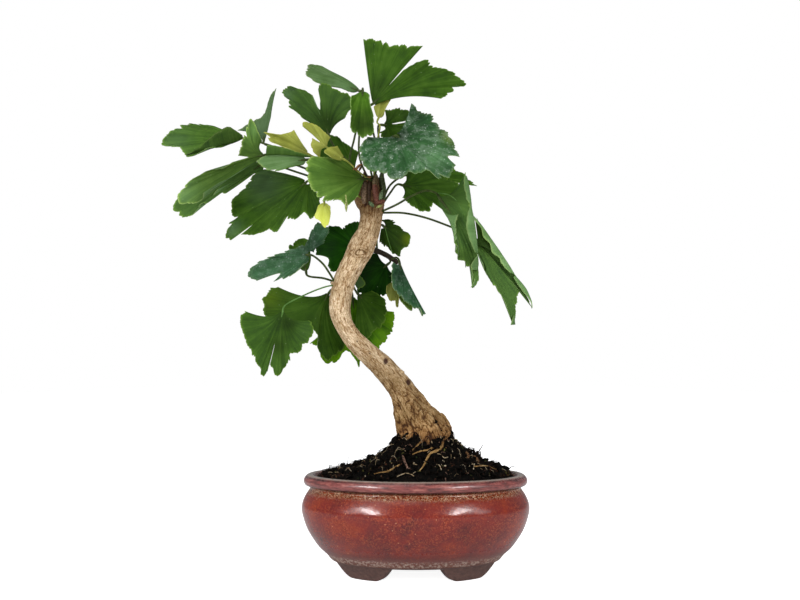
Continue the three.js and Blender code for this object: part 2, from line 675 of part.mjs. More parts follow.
  leaf_low_tiny: {
    stalk: [[-46, 8, 190], [-46, 12, 193]],
    foot: [-45, 15, 194],
    lobes: [
      [[-41, 17, 197], [-35, 17, 194], [-34, 16, 188], [-39, 15, 185]],
    ],
    flare: 0.2,
    tint: 'small',
  },
  leaf_low_bright: {
    stalk: [[-46, 10, 187], [-45, 20, 187]],
    foot: [-44, 26, 185],
    lobes: [
      [[-74, 26, 148.5], [-67.5, 24.5, 145], [-65.5, 24, 138.5], [-61, 23.5, 134], [-53.5, 23, 136],
        [-48, 24, 143], [-42, 23.5, 138], [-38.5, 23, 131.5], [-37, 24, 138.5], [-31.5, 25, 141.5],
        [-24.5, 26.5, 144.5], [-18, 29, 152], [-13, 31.5, 160], [-11, 32, 167.5]],
    ],
    flare: 0.3,
    tint: 'bright',
  },
  young_left: {
    stalk: [[-34, -3, 257], [-54, -3, 268]],
    foot: [-70, -3, 275],
    lobes: [
      [[-82.5, -6, 293], [-89.5, -6, 290.5], [-97, -4, 292], [-105, -2, 292]],
      [[-101.5, -6, 285.5], [-86.5, -7.5, 279]],
    ],
    cuts: [0.9],
    flare: 0.4,
    tint: 'young',
  },
  young_curl: {
    stalk: [[-33, -3, 260], [-49, -8, 271]],
    foot: [-57, -10, 277],
    lobes: [
      [[-54, -12, 281.5], [-63, -11, 290.5], [-68, -13, 295.5], [-74.5, -11, 297], [-76.5, -9, 295]],
      [[-69.5, -10, 285.5], [-70.5, -10.5, 280], [-68.5, -11, 275], [-63.5, -10.5, 271]],
    ],
    cuts: [0.55],
    flare: 0.3,
    tint: 'young',
  },
  young_centre: {
    stalk: [[-31, -6, 258], [-38, -13, 262]],
    foot: [-45, -16, 268],
    lobes: [
      [[-52, -16, 279], [-59.5, -16.5, 277], [-61, -18, 273.5], [-57, -20, 269.5]],
    ],
    flare: 0.3,
    tint: 'young',
  },
  young_top: {
    stalk: [[-28, -2, 260], [-27, -2, 280], [-24, 2, 297]],
    foot: [-26, 5, 300.5],
    lobes: [
      [[-28.5, 7, 312], [-24, 8, 318], [-16, 8.5, 320.5], [-17, 8, 316.5], [-20.5, 5.5, 310]],
    ],
    flare: 0.3,
    tint: 'young',
  },
  young_hanging: {
    stalk: [[-36, -8, 245], [-47, -13, 250], [-56, -17, 248]],
    foot: [-60, -18, 243],
    lobes: [
      [[-56, -18, 236.5], [-54.5, -19.5, 231], [-56, -21, 226], [-59, -22, 222], [-67, -20, 229.5],
        [-64, -18, 236.5]],
    ],
    flare: 0.3,
    tint: 'young',
  },
};

const TINTS = { green: LEAF_GREEN, small: LEAF_GREEN, bright: LEAF_BRIGHT, young: LEAF_YOUNG };

// The rays of a fan: where each one ends on the edge, and how much of it the cut edge leaves.
function edgeRays(leaf, step) {
  const rays = [];
  leaf.lobes.forEach((lobe, index) => {
    const edge = new THREE.CatmullRomCurve3(lobe.map(point), false, 'centripetal');
    const count = Math.max(2, 2 * Math.round(edge.getLength() / step / 2));
    edge.getSpacedPoints(count).forEach((end, order) => {
      const inner = order > 0 && order < count;
      rays.push({ end, reach: inner && order % 2 ? 1 - TOOTH : 1 });
    });
    if (index < leaf.lobes.length - 1) {
      const end = point(leaf.lobes[index + 1][0]).add(edge.getPoint(1)).multiplyScalar(0.5);
      rays.push({ end, reach: leaf.cuts[index] });
    }
  });
  return rays;
}

// The narrow seat that a blade's rays start from: its middle, its direction and the way across it.
function seatOf(leaf, rays) {
  const foot = point(leaf.foot);
  const axis = new THREE.Vector3();
  const across = new THREE.Vector3();
  let length = 0;
  rays.forEach(({ end }, i) => {
    const ray = end.clone().sub(foot);
    axis.add(ray);
    across.addScaledVector(ray, i / (rays.length - 1) - 0.5);
    length += ray.length() / rays.length;
  });
  axis.normalize();
  across.addScaledVector(axis, -across.dot(axis)).normalize();
  const normal = new THREE.Vector3().crossVectors(across, axis).normalize();
  const middle = foot.clone().addScaledVector(axis, Math.min(SEAT_AHEAD, 0.25 * length));
  return { foot, middle, axis, across, normal, length };
}

// Points of the blade's middle surface, row by row from its seat to its edge.
function bladeGrid(leaf, rays, rows, seat) {
  const { foot, middle, axis, across, normal, length } = seat;
  const arch = leaf.arch ? point(leaf.arch) : new THREE.Vector3();
  const [flare, lastFlare = flare] = [leaf.flare].flat();
  const grid = [];
  for (let row = 0; row <= rows; row += 1) {
    grid.push(rays.map(({ end, reach }, i) => {
      const aside = i / (rays.length - 1) - 0.5;
      let start = middle.clone().addScaledVector(across, aside * SEAT_WIDTH);
      if (leaf.round) {
        const ray = end.clone().sub(foot);
        start = foot.clone().add(ray.addScaledVector(normal, -ray.dot(normal)).setLength(SEAT_ROUND));
      }
      const ray = end.distanceTo(start);
      const pull = THREE.MathUtils.lerp(flare, lastFlare, aside + 0.5);
      const control = start.clone().addScaledVector(axis, pull * ray)
        .addScaledVector(across, aside * 0.25 * length)
        .addScaledVector(arch, Math.min(1, ray / length));
      const far = reach * (row / rows) ** 0.85;
      return new THREE.QuadraticBezierCurve3(start, control, end).getPoint(far);
    }));
  }
  return grid;
}

// Both faces share one pattern of triangles, and a rim joins them all the way round.
function bladeSolid(grid, seat) {
  const rows = grid.length;
  const columns = grid[0].length;
  const at = (row, column) => row * columns + column;
  const middle = grid.flat();
  const faces = [];
  for (let row = 0; row < rows - 1; row += 1) {
    for (let column = 0; column < columns - 1; column += 1) {
      const a = at(row, column);
      const b = at(row, column + 1);
      const c = at(row + 1, column + 1);
      const d = at(row + 1, column);
      faces.push([a, b, c], [a, c, d]);
    }
  }
  const sheet = geometryFrom(middle, faces.flat());
  sheet.computeVertexNormals();
  const normals = sheet.attributes.normal;
  const offset = (side) => middle.map((spot, i) => {
    const normal = i < columns ? seat.normal : new THREE.Vector3().fromBufferAttribute(normals, i);
    return spot.clone().addScaledVector(normal, side * BLADE_THICKNESS / 2);
  });
  const triangles = faces.flat();
  const below = middle.length;
  for (const [a, b, c] of faces) triangles.push(a + below, c + below, b + below);
  const rim = [];
  for (let column = 0; column < columns - 1; column += 1) rim.push(at(0, column));
  for (let row = 0; row < rows - 1; row += 1) rim.push(at(row, columns - 1));
  for (let column = columns - 1; column > 0; column -= 1) rim.push(at(rows - 1, column));
  for (let row = rows - 1; row > 0; row -= 1) rim.push(at(row, 0));
  rim.forEach((a, i) => {
    const b = rim[(i + 1) % rim.length];
    triangles.push(b, a, a + below, b, a + below, b + below);
  });
  return solidOf(geometryFrom([...offset(1), ...offset(-1)], triangles));
}

// The stalk swells where the blade's wedge grows out of it.
function stalkSolid(leaf, grid) {
  const middle = Math.floor(grid[0].length / 2);
  const seat = grid[0][middle];
  const tip = seat.clone().lerp(grid[1][middle], 0.3);
  const slim = leaf.tint ? 0.85 : 1;
  const route = [...leaf.stalk, leaf.foot].map((s) => [...s, slim * STALK_RADIUS]);
  route.push([...seat, slim * SEAT_RADIUS], [...tip, slim * STALK_RADIUS / 2]);
  const length = new THREE.CatmullRomCurve3(route.map(point)).getLength();
  const steps = Math.max(4, Math.round(length / STALK_STEP));
  return limb(route, { sides: STALK_SIDES, steps });
}

function buildLeaf(leaf, wood) {
  const small = Boolean(leaf.tint) && leaf.lobes.length * leaf.lobes[0].length < 9;
  const rays = edgeRays(leaf, small ? YOUNG_STEP : BLADE_STEP);
  const seat = seatOf(leaf, rays);
  const grid = bladeGrid(leaf, rays, small ? YOUNG_ROWS : BLADE_ROWS, seat);
  return mainBody(bladeSolid(grid, seat).add(stalkSolid(leaf, grid)).subtract(wood).simplify(TIDY));
}

// ---------------------------------------------------------------- the whole tree

const tree = new THREE.Group();
tree.position.set(-MIDDLE_X, -MIDDLE_Y, -GROUND);

const clearWood = buildWood(GAP);
tree.add(meshOf('pot', buildPot(), GLAZE, 0.2));
tree.add(meshOf('soil', buildSoil(clearWood), PEAT, 0.95));
tree.add(meshOf('trunk', buildWood(), BARK, 0.85));
for (const [name, leaf] of Object.entries(LEAVES)) {
  const color = TINTS[leaf.tint ?? 'green'];
  tree.add(meshOf(name, buildLeaf(leaf, clearWood), color, 0.5));
}

const bonsai = new THREE.Group();
bonsai.add(tree);

export default bonsai;
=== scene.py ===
# %% [markdown]
# # A ginkgo bonsai in an oval glazed pot
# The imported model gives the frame: metres, Z up, and a solid for the pot, the soil, the woody
# plant and every leaf.  Each solid keeps its place.  Here each one gets a finer piece in its
# place, with the surface that the real thing has: glaze, peat, bark and veined leaves.

# %% Load the frame
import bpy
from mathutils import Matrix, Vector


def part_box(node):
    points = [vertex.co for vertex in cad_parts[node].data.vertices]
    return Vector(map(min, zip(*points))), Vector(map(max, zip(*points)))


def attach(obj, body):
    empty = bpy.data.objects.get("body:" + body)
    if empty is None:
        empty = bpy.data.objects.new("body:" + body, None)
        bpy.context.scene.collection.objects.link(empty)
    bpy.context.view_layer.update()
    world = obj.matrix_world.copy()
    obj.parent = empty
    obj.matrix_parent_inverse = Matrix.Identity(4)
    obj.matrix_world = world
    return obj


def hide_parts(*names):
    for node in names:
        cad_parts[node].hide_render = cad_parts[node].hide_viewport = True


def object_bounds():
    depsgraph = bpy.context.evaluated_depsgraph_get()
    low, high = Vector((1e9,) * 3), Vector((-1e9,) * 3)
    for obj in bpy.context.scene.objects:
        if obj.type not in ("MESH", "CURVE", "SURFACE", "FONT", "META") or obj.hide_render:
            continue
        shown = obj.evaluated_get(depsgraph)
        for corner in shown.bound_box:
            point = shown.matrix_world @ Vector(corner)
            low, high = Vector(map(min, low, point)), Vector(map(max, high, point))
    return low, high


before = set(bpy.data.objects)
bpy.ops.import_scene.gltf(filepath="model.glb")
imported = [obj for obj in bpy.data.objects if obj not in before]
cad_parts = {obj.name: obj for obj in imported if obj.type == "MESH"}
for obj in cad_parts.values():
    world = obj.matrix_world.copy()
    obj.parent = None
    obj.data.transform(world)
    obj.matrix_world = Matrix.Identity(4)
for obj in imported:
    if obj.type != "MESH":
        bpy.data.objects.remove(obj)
cad_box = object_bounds()
print("nodes in the frame:", len(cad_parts))

# %% [markdown]
# ## Units and small helpers
# The plant was laid out in millimetres round the middle of the pot, so the lists of points below
# use that too: X to the right, Y away, Z up.  One function turns them into metres in the frame.
# Its offset comes from the pot's own box, so nothing is fitted by eye.  The feet reach down to
# Z = -3 mm of that layout, and that is where the table is.

# %% Units
import math

import bmesh
import bpy
import numpy as np
from mathutils import Vector, noise
from mathutils.kdtree import KDTree

MM = 0.001
GROUND = -3
pot_low, pot_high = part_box("pot")
POT_MIDDLE = np.array([(pot_low.x + pot_high.x) / 2, (pot_low.y + pot_high.y) / 2,
                       pot_low.z - GROUND * MM])
POT_HALF_WIDTH = (pot_high.x - pot_low.x) / 2 / MM
POT_SLIM = POT_HALF_WIDTH - (pot_high.y - pot_low.y) / 2 / MM
POT_TOP = (pot_high.z - pot_low.z) / MM + GROUND
BOX_MARGIN = 0.02
BOX_LOW = np.array(cad_box[0]) + BOX_MARGIN * MM
BOX_HIGH = np.array(cad_box[1]) - BOX_MARGIN * MM


def metres(points):
    """Points in millimetres from the middle of the pot, as metres in the part's frame."""
    return np.asarray(points, float) * MM + POT_MIDDLE


print(f"pot: {POT_HALF_WIDTH * 2:.1f} mm wide, depth {POT_SLIM * 2:.1f} mm less, top at {POT_TOP:.1f} mm")

# %% [markdown]
# ## Making a mesh
# Every piece is a list of points and faces worked out by a formula.  A piece sits at the origin,
# its place is in its mesh, and it rides on the only body there is.  A mesh can also carry values
# at its points, such as how deep a crack in the bark is, which its material then reads.


# %% Making a mesh
def triangles_of(mesh):
    return sum(len(polygon.vertices) - 2 for polygon in mesh.polygons)


def make_piece(name, points, faces, materials, node=None):
    """A smooth-shaded mesh that rides on the root body and stands for a node of the frame.
    No point of it may leave the box of the solids."""
    mesh = bpy.data.meshes.new(name)
    mesh.from_pydata(np.clip(metres(points), BOX_LOW, BOX_HIGH).tolist(), [], faces)
    for material in materials:
        mesh.materials.append(material)
    mesh.shade_smooth()
    piece = bpy.data.objects.new(name, mesh)
    bpy.context.scene.collection.objects.link(piece)
    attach(piece, "root")
    if node:
        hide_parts(node)
    print(f"{name}: {triangles_of(mesh)} triangles")
    return piece


def note_values(piece, name, values):
    """Keeps a number for each point of a piece, for its material to read."""
    attribute = piece.data.attributes.new(name, "FLOAT", "POINT")
    attribute.data.foreach_set("value", np.asarray(values, np.float32))


def note_vectors(piece, name, vectors):
    """Keeps three numbers for each point of a piece, for its material to read."""
    attribute = piece.data.attributes.new(name, "FLOAT_VECTOR", "POINT")
    attribute.data.foreach_set("vector", vectors.astype(np.float32).ravel())


def tube_faces(rings, sides, first=0):
    """Faces of a closed tube whose rings of points come one after the other."""
    faces = []
    for ring in range(rings - 1):
        low = first + ring * sides
        for side in range(sides):
            other = (side + 1) % sides
            faces.append((low + side, low + other, low + other + sides, low + side + sides))
    faces.append(tuple(range(first + sides - 1, first - 1, -1)))
    faces.append(tuple(range(first + (rings - 1) * sides, first + rings * sides)))
    return faces


print("a tube of 3 rings and 4 sides has", len(tube_faces(3, 4)), "faces")


# %% Curves
def unit(vectors):
    return vectors / np.linalg.norm(vectors, axis=-1, keepdims=True)


def spline(points, steps):
    """A centripetal Catmull-Rom curve through points of any dimension, steps to each stretch.
    Only the first three numbers of a point count for the spacing."""
    points = np.asarray(points, float)
    ends = np.vstack([2 * points[0] - points[1], points, 2 * points[-1] - points[-2]])
    knots = np.linalg.norm(np.diff(ends[:, :3], axis=0), axis=1) ** 0.5
    share = (np.arange(steps) / steps)[:, None]
    stretches = []
    for i in range(len(points) - 1):
        before, start, stop, after = ends[i:i + 4]
        t0, t1, t2 = knots[i:i + 3]
        leave = t1 * ((start - before) / t0 - (stop - before) / (t0 + t1) + (stop - start) / t1)
        arrive = t1 * ((stop - start) / t1 - (after - start) / (t1 + t2) + (after - stop) / t2)
        bend = 3 * (stop - start) - 2 * leave - arrive
        twist = leave + arrive - 2 * (stop - start)
        stretches.append(start + leave * share + bend * share ** 2 + twist * share ** 3)
    stretches.append(points[-1:])
    return np.vstack(stretches)


def along_path(path):
    """Millimetres from the start of a path to each of its points."""
    return np.concatenate([[0], np.cumsum(np.linalg.norm(np.diff(path[:, :3], axis=0), axis=1))])


def evenly(path, count):
    """The same path as count + 1 points, equally far apart."""
    along = along_path(path)
    wanted = np.linspace(0, along[-1], count + 1)
    return np.column_stack([np.interp(wanted, along, column) for column in path.T])


def path_length(path):
    return float(np.linalg.norm(np.diff(path[:, :3], axis=0), axis=1).sum())


corner = [[0, 0, 0], [10, 0, 0], [10, 10, 0]]
print(f"a curve round a corner of 20 mm is {path_length(spline(corner, 12)):.1f} mm long")

# %% [markdown]
# ## Tubes that follow a path
# Trunk, roots, stalks and fibres are all tubes.  A tube needs two directions across its path that
# turn as little as possible from one ring to the next, or its surface twists.  Each ring's
# direction is the last one with the part along the path taken out.


# %% Tubes that follow a path
def directions_across(path):
    """Two unit vectors across the path at each of its points."""
    tangents = unit(np.gradient(path[:, :3], axis=0))
    across = np.array([0.0, 1, 0]) if abs(tangents[0, 0]) > 0.9 else np.array([1.0, 0, 0])
    firsts = []
    for tangent in tangents:
        across = unit(across - tangent * (across @ tangent))
        firsts.append(across)
    firsts = np.array(firsts)
    return firsts, np.cross(tangents, firsts)


def tube_points(path, sides, relief=None):
    """Rings of points round a path of [x, y, z, radius].  relief scales the radius at each point."""
    first, second = directions_across(path)
    turns = np.arange(sides) / sides * 2 * math.pi
    reach = np.repeat(path[:, 3:4], sides, axis=1)
    if relief is not None:
        reach = reach * relief(turns[None, :], np.linspace(0, 1, len(path))[:, None])
    ring = np.cos(turns)[None, :, None] * first[:, None] + np.sin(turns)[None, :, None] * second[:, None]
    return (path[:, None, :3] + reach[:, :, None] * ring).reshape(-1, 3)


rod = np.array([[0, 0, 0, 1], [0, 0, 5, 1]], float)
print("a rod of 8 sides has", len(tube_points(rod, 8)), "points")

# %% [markdown]
# ## Shader nodes and colours
# Colours are written the way a painter's swatch gives them, as sRGB hex, and one function turns
# them into the linear numbers a shader works with.  One function adds a node, sets its properties
# and links its inputs.  Short ones after it stand for the kinds of node that come again and
# again, so a material reads from top to bottom like a recipe.


# %% Shader nodes and colours
def colour(swatch):
    """An sRGB hex colour as linear red, green, blue and a full alpha."""
    shares = [int(swatch[i:i + 2], 16) / 255 for i in (1, 3, 5)]
    return (*(s / 12.92 if s <= 0.04045 else ((s + 0.055) / 1.055) ** 2.4 for s in shares), 1.0)


def add(tree, kind, inputs=None, **settings):
    """Adds a node.  inputs holds values, hex colours or outputs to link, by socket name or number.
    A node there stands for its first output."""
    node = tree.nodes.new("ShaderNode" + kind)
    for name, value in settings.items():
        setattr(node, name, value)
    for name, value in (inputs or {}).items():
        if isinstance(value, bpy.types.Node):
            value = value.outputs[0]
        if isinstance(value, bpy.types.NodeSocket):
            tree.links.new(value, node.inputs[name])
        else:
            node.inputs[name].default_value = colour(value) if isinstance(value, str) else value
    return node


print("a mid grey in linear light:", [round(c, 3) for c in colour("#808080")])


# %% Short calls for the nodes that are used most
def ramp(tree, share, stops):
    """A colour ramp.  Each stop is a place from 0 to 1 and a swatch, or a number for a mask."""
    node = add(tree, "ValToRGB", {"Fac": share})
    elements = node.color_ramp.elements
    while len(elements) < len(stops):
        elements.new(0.5)
    for element, (place, look) in zip(elements, stops):
        element.position = place
        element.color = colour(look) if isinstance(look, str) else (look, look, look, 1)
    return node


def mix(tree, share, under, over):
    """One colour laid over another."""
    return add(tree, "MixRGB", {"Fac": share, "Color1": under, "Color2": over})


def times(tree, first, second, share=1.0):
    """One colour multiplied by another."""
    inputs = {"Fac": share, "Color1": first, "Color2": second}
    return add(tree, "MixRGB", inputs, blend_type="MULTIPLY")


def maths(tree, operation, *values):
    """The result of one operation on numbers or outputs."""
    return add(tree, "Math", dict(enumerate(values)), operation=operation)


def noise_texture(tree, place, scale, detail, roughness=0.5, distortion=0.0):
    """Smooth noise.  detail says how many finer layers it has, and roughness how strong they are."""
    return add(tree, "TexNoise", {"Vector": place, "Scale": scale, "Detail": detail,
                                  "Roughness": roughness, "Distortion": distortion})


def cells(tree, place, scale):
    """Cells that each have a distance from their middle and a colour of their own."""
    return add(tree, "TexVoronoi", {"Vector": place, "Scale": scale})


def stretched(tree, place, scale):
    """A place whose three numbers are each multiplied, which stretches a texture that reads it."""
    return add(tree, "Mapping", {"Vector": place, "Scale": scale})


def bump(tree, height, strength, depth, normal=None):
    """A bump that many millimetres deep, on top of another one's normal if there is one."""
    inputs = {"Height": height, "Strength": strength, "Distance": depth * MM}
    if normal:
        inputs["Normal"] = normal
    return add(tree, "Bump", inputs)


def noted(tree, name, output="Fac"):
    """What note_values or note_vectors keeps at the points of a piece."""
    return add(tree, "Attribute", attribute_name=name).outputs[output]


def own_place(tree):
    """The point on the surface, in metres."""
    return add(tree, "TexCoord").outputs["Object"]


def feed(tree, socket, node):
    """Links a node's first output to the Principled shader."""
    tree.links.new(node.outputs[0], tree.nodes["Principled BSDF"].inputs[socket])


def new_material(name, **settings):
    """A material with one Principled shader, whose even settings go on its own sockets."""
    material = bpy.data.materials.new(name)
    material.use_nodes = True
    tree = material.node_tree
    for socket, value in settings.items():
        tree.nodes["Principled BSDF"].inputs[socket.replace("_", " ")].default_value = value
    return material, tree


print("helpers for nodes: ramp, mix, times, maths, noise_texture, cells, stretched, bump, noted")

# %% [markdown]
# ## Camera
# The tree is seen from the front and a little from below its middle, at arm's length.  A lens
# of about 42 mm on a 36 mm sensor gives the natural perspective of a product picture.

# %% Camera
CAMERA_PLACE = (-10.2, -620, 125)
CAMERA_PITCH = 4.8
camera = bpy.data.objects.new("camera", bpy.data.cameras.new("camera"))
camera.location = metres(CAMERA_PLACE)
camera.rotation_euler = (math.radians(90 + CAMERA_PITCH), 0, 0)
camera.data.sensor_width = 36
camera.data.lens = 41.6
camera.data.clip_start = 0.01
bpy.context.scene.collection.objects.link(camera)
bpy.context.scene.camera = camera
print("camera", [round(c, 3) for c in camera.location])

# %% [markdown]
# ## The pot: oxblood glaze over stoneware
# A small bonsai tray is moulded or pressed stoneware.  Its wall swells out, draws in under the
# lip, and the lip is a rounded roll.  The glaze is a copper and iron red: fired with little air
# it turns oxblood, breaks to orange and mauve where it runs thin, and leaves pale specks over
# the edges.  The base and the feet are wiped clean before the firing, so they stay bare clay.
# A lathe is the plain way to make a round pot.  This one is oval, so each ring of the lathe is
# drawn in by the same distance, which keeps the wall equally thick all the way round.

# %% Profile of the pot
POT_PROFILE = [
    [52.6, 6], [55.4, 7.2], [58.2, 10.4], [63, 14.8], [67.2, 20.2], [70.8, 26], [73.4, 32.5], [75, 39.6],
    [74.4, 43.8], [72.4, 48.4], [70.3, 51.6], [69.5, 53.2], [70.9, 54.3], [73, 55.4], [73.8, 57.6],
    [73, 60], [70.8, 61.8], [68.2, 61.6], [66.2, 59.6], [64.4, 54], [68.6, 41], [68, 31], [63.4, 20.5],
    [56.4, 12],
]
POT_UNDER = 6
POT_SIDES = 200
FOOT_STEPS = 40
FOOT_SIDES = 8
FOOT_START = 0.18
FOOT_END = 0.80
FOOT_WIDTH = 53.6
FOOT_DRAWN_IN = 5
FOOT_THICK = 9
FOOT_TAPER = 2.5
FOOT_EDGE = 1.3
FOOT_TOP_INSIDE = 45
FOOT_OVERLAP = 1.2
DRAIN_RADIUS = 6
DRAIN_SPREAD = 24
DRAIN_ENDS = (2, 18)
DRAIN_SIDES = 48


def oval(half_width, turn, height):
    """A point on the pot's oval: the half depth is less than the half width by a fixed amount."""
    return [half_width * math.cos(turn), (half_width - POT_SLIM) * math.sin(turn), height]


def oval_rings(profile, sides):
    """One ring of points for each half width and height of a profile."""
    turns = np.arange(sides) / sides * 2 * math.pi
    return np.array([oval(width, turn, height) for width, height in profile for turn in turns])


profile = spline(POT_PROFILE, 6)
profile[:, 0] = np.minimum(profile[:, 0], POT_HALF_WIDTH - BOX_MARGIN)
profile[:, 1] = np.clip(profile[:, 1], POT_UNDER, POT_TOP)
print(f"pot profile: {len(profile)} rings, widest {profile[:, 0].max() * 2:.1f} mm")

# %% [markdown]
# ## Feet
# Each foot is cut from the same wall as the body, so it follows the oval.  Its lower edge runs
# down in a cloud curve to a flat middle that stands on the table.  The feet are joined to the
# body, and the drain holes cut through the floor, with boolean modifiers, because a potter does
# just that: adds clay and cuts clay.


# %% Feet and drain holes
def foot_rings(quarter):
    """Sections of one foot, one after the other along the pot's oval."""
    rings = []
    for step in range(FOOT_STEPS + 1):
        share = step / FOOT_STEPS
        side = FOOT_START + (FOOT_END - FOOT_START) * share
        turn = math.pi / 2 * (quarter + 1 - side if quarter % 2 else quarter + side)
        drop = min(1, 1.05 * (1 - (1 - math.sin(math.pi * share)) ** 2.3))
        low = GROUND + (POT_UNDER + 0.5 - GROUND) * (1 - drop)
        outside = FOOT_WIDTH - FOOT_DRAWN_IN * drop
        inside = outside - FOOT_THICK + FOOT_TAPER * drop
        edge = FOOT_EDGE * drop
        top = POT_UNDER + FOOT_OVERLAP
        section = [(FOOT_WIDTH, top), (FOOT_TOP_INSIDE, top),
                   (inside, low + edge), (inside + 0.3 * edge, low + 0.3 * edge),
                   (inside + edge, low), (outside - edge, low), (outside - 0.3 * edge, low + 0.3 * edge),
                   (outside, low + edge)]
        rings.append([oval(width, turn, height) for width, height in section])
    if quarter % 2 == 0:
        rings.reverse()
    return np.array(rings).reshape(-1, 3)


print("sections of a foot:", FOOT_STEPS + 1)


# %% Joining and cutting
def plain_object(name, points, faces):
    """An object that only lives until its mesh has been worked on."""
    mesh = bpy.data.meshes.new(name)
    mesh.from_pydata(metres(points).tolist(), [], faces)
    tool = bpy.data.objects.new(name, mesh)
    bpy.context.scene.collection.objects.link(tool)
    return tool


def drain_tool(side):
    """A short upright rod where a drain hole goes through the floor."""
    path = np.array([[side * DRAIN_SPREAD, 0, height, DRAIN_RADIUS] for height in DRAIN_ENDS], float)
    return tube_points(path, DRAIN_SIDES)


def worked_mesh(body, tools):
    """The body's mesh after each tool is joined to it or cut from it.  The tools are deleted."""
    for tool, operation in tools:
        boolean = body.modifiers.new("boolean", "BOOLEAN")
        boolean.object = tool
        boolean.operation = operation
    bpy.context.view_layer.update()
    done = bpy.data.meshes.new_from_object(body.evaluated_get(bpy.context.evaluated_depsgraph_get()))
    for leftover in [body] + [tool for tool, operation in tools]:
        bpy.data.objects.remove(leftover)
    return done


foot_faces = tube_faces(FOOT_STEPS + 1, FOOT_SIDES)
drain_faces = tube_faces(2, DRAIN_SIDES)
tools = [(plain_object("foot", foot_rings(quarter), foot_faces), "UNION") for quarter in range(4)]
tools += [(plain_object("drain", drain_tool(side), drain_faces), "DIFFERENCE") for side in (-1, 1)]
pot_body = plain_object("pot_body", oval_rings(profile, POT_SIDES), tube_faces(len(profile), POT_SIDES))
pot_mesh = worked_mesh(pot_body, tools)
print("pot mesh:", len(pot_mesh.vertices), "points")

# %% [markdown]
# ## The glaze
# What the eye gets from this glaze: a deep red-brown that wanders to orange and mauve, orange specks under
# a clear glassy skin, a sparkling band of crystals where the glaze pooled under the neck, a mauve lip
# rubbed pale on its inner edge, and a pale break line above the bare base. Painted shade darkens the cove
# under the lip and a thin line on its roll.
# Most of it follows height, so the height on the pot, shaken a little by noise, drives the colour
# ramps.  The lip and the bare clay have even edges, so theirs is not shaken.  Noise scales come
# from real sizes, and one helper turns a size into a scale.


# %% Glaze material
def scale_of(size):
    """The scale of a texture whose features are that many millimetres across."""
    return 1 / (size * MM)


def heights(stops):
    """Ramp stops given by height in millimetres on the pot."""
    return [((height - GROUND) / (POT_TOP - GROUND), swatch) for height, swatch in stops]


glaze, tree = new_material("oxblood glaze on stoneware", IOR=1.5, Specular_IOR_Level=0.42)
place = own_place(tree)
height = add(tree, "SeparateXYZ", {0: place}).outputs["Z"]
runs = noise_texture(tree, place, scale_of(7), 5, 0.6)
shaken = maths(tree, "MULTIPLY_ADD", runs, 3.6 * MM, -1.8 * MM)
level = maths(tree, "ADD", height, shaken)
per_height = 1 / ((POT_TOP - GROUND) * MM)
share = maths(tree, "MULTIPLY", level, per_height)
still = maths(tree, "MULTIPLY", height, per_height)
print("glaze nodes so far:", len(tree.nodes))

# %% Body of the glaze
bands = ramp(tree, share, heights([
    (6.6, "#4a322b"), (8.6, "#53372d"), (11.5, "#5b3229"), (14.5, "#431511"), (22, "#511812"),
    (34, "#6d211a"), (42, "#76241c"), (48.5, "#7c2918"), (51, "#7f2f15"), (54.4, "#5d1f0d")]))
cloud = noise_texture(tree, place, scale_of(24), 6, 0.62, 0.4)
patches = ramp(tree, cloud, [(0.36, "#3c161a"), (0.45, "#621d1d"), (0.55, "#7c241a"), (0.64, "#8f3213")])
body_share = ramp(tree, share, heights([(12, 0.1), (18, 0.7), (45, 0.7), (51, 0.2)]))
body = mix(tree, body_share, bands, patches)
grit = cells(tree, place, scale_of(0.7))
specks = ramp(tree, grit.outputs["Color"], [
    (0.26, "#36100f"), (0.42, "#681e19"), (0.6, "#7a2a17"), (0.74, "#aa512b")])
speck_share = ramp(tree, share, heights([(9, 0.12), (16, 0.25), (24, 0.4), (42, 0.4), (50, 0.35)]))
swarm = noise_texture(tree, place, scale_of(9), 4, 0.6)
swarm_share = ramp(tree, swarm, [(0.36, 0.3), (0.6, 1)])
swarming = maths(tree, "MULTIPLY", speck_share, swarm_share)
grained = mix(tree, swarming, body, specks)
spit = cells(tree, place, scale_of(4.2))
spit_size = ramp(tree, spit.outputs["Distance"], [(0.07, 0.8), (0.11, 0)])
spit_kind = ramp(tree, spit.outputs["Color"], [(0.52, 0), (0.6, 1)])
spit_part = maths(tree, "MULTIPLY", spit_size, spit_kind)
speckled = mix(tree, spit_part, grained, "#be7a56")
print("glaze nodes so far:", len(tree.nodes))

# %% Crystals under the lip
band = ramp(tree, share, heights([(49.4, 0), (51, 0.95), (53.6, 0.95), (54.3, 0.2)]))
scribble_place = stretched(tree, place, (1, 1, 1.6))
scribble = noise_texture(tree, scribble_place, scale_of(1.3), 3, 0.65, 1.6)
crystals = ramp(tree, scribble, [
    (0.38, "#100604"), (0.44, "#64240e"), (0.49, "#bc5220"), (0.52, "#1c0a06"), (0.56, "#5a2410"),
    (0.6, "#ecd0a8"), (0.67, "#984420")])
crystalled = mix(tree, band, speckled, crystals)
print("glaze nodes so far:", len(tree.nodes))

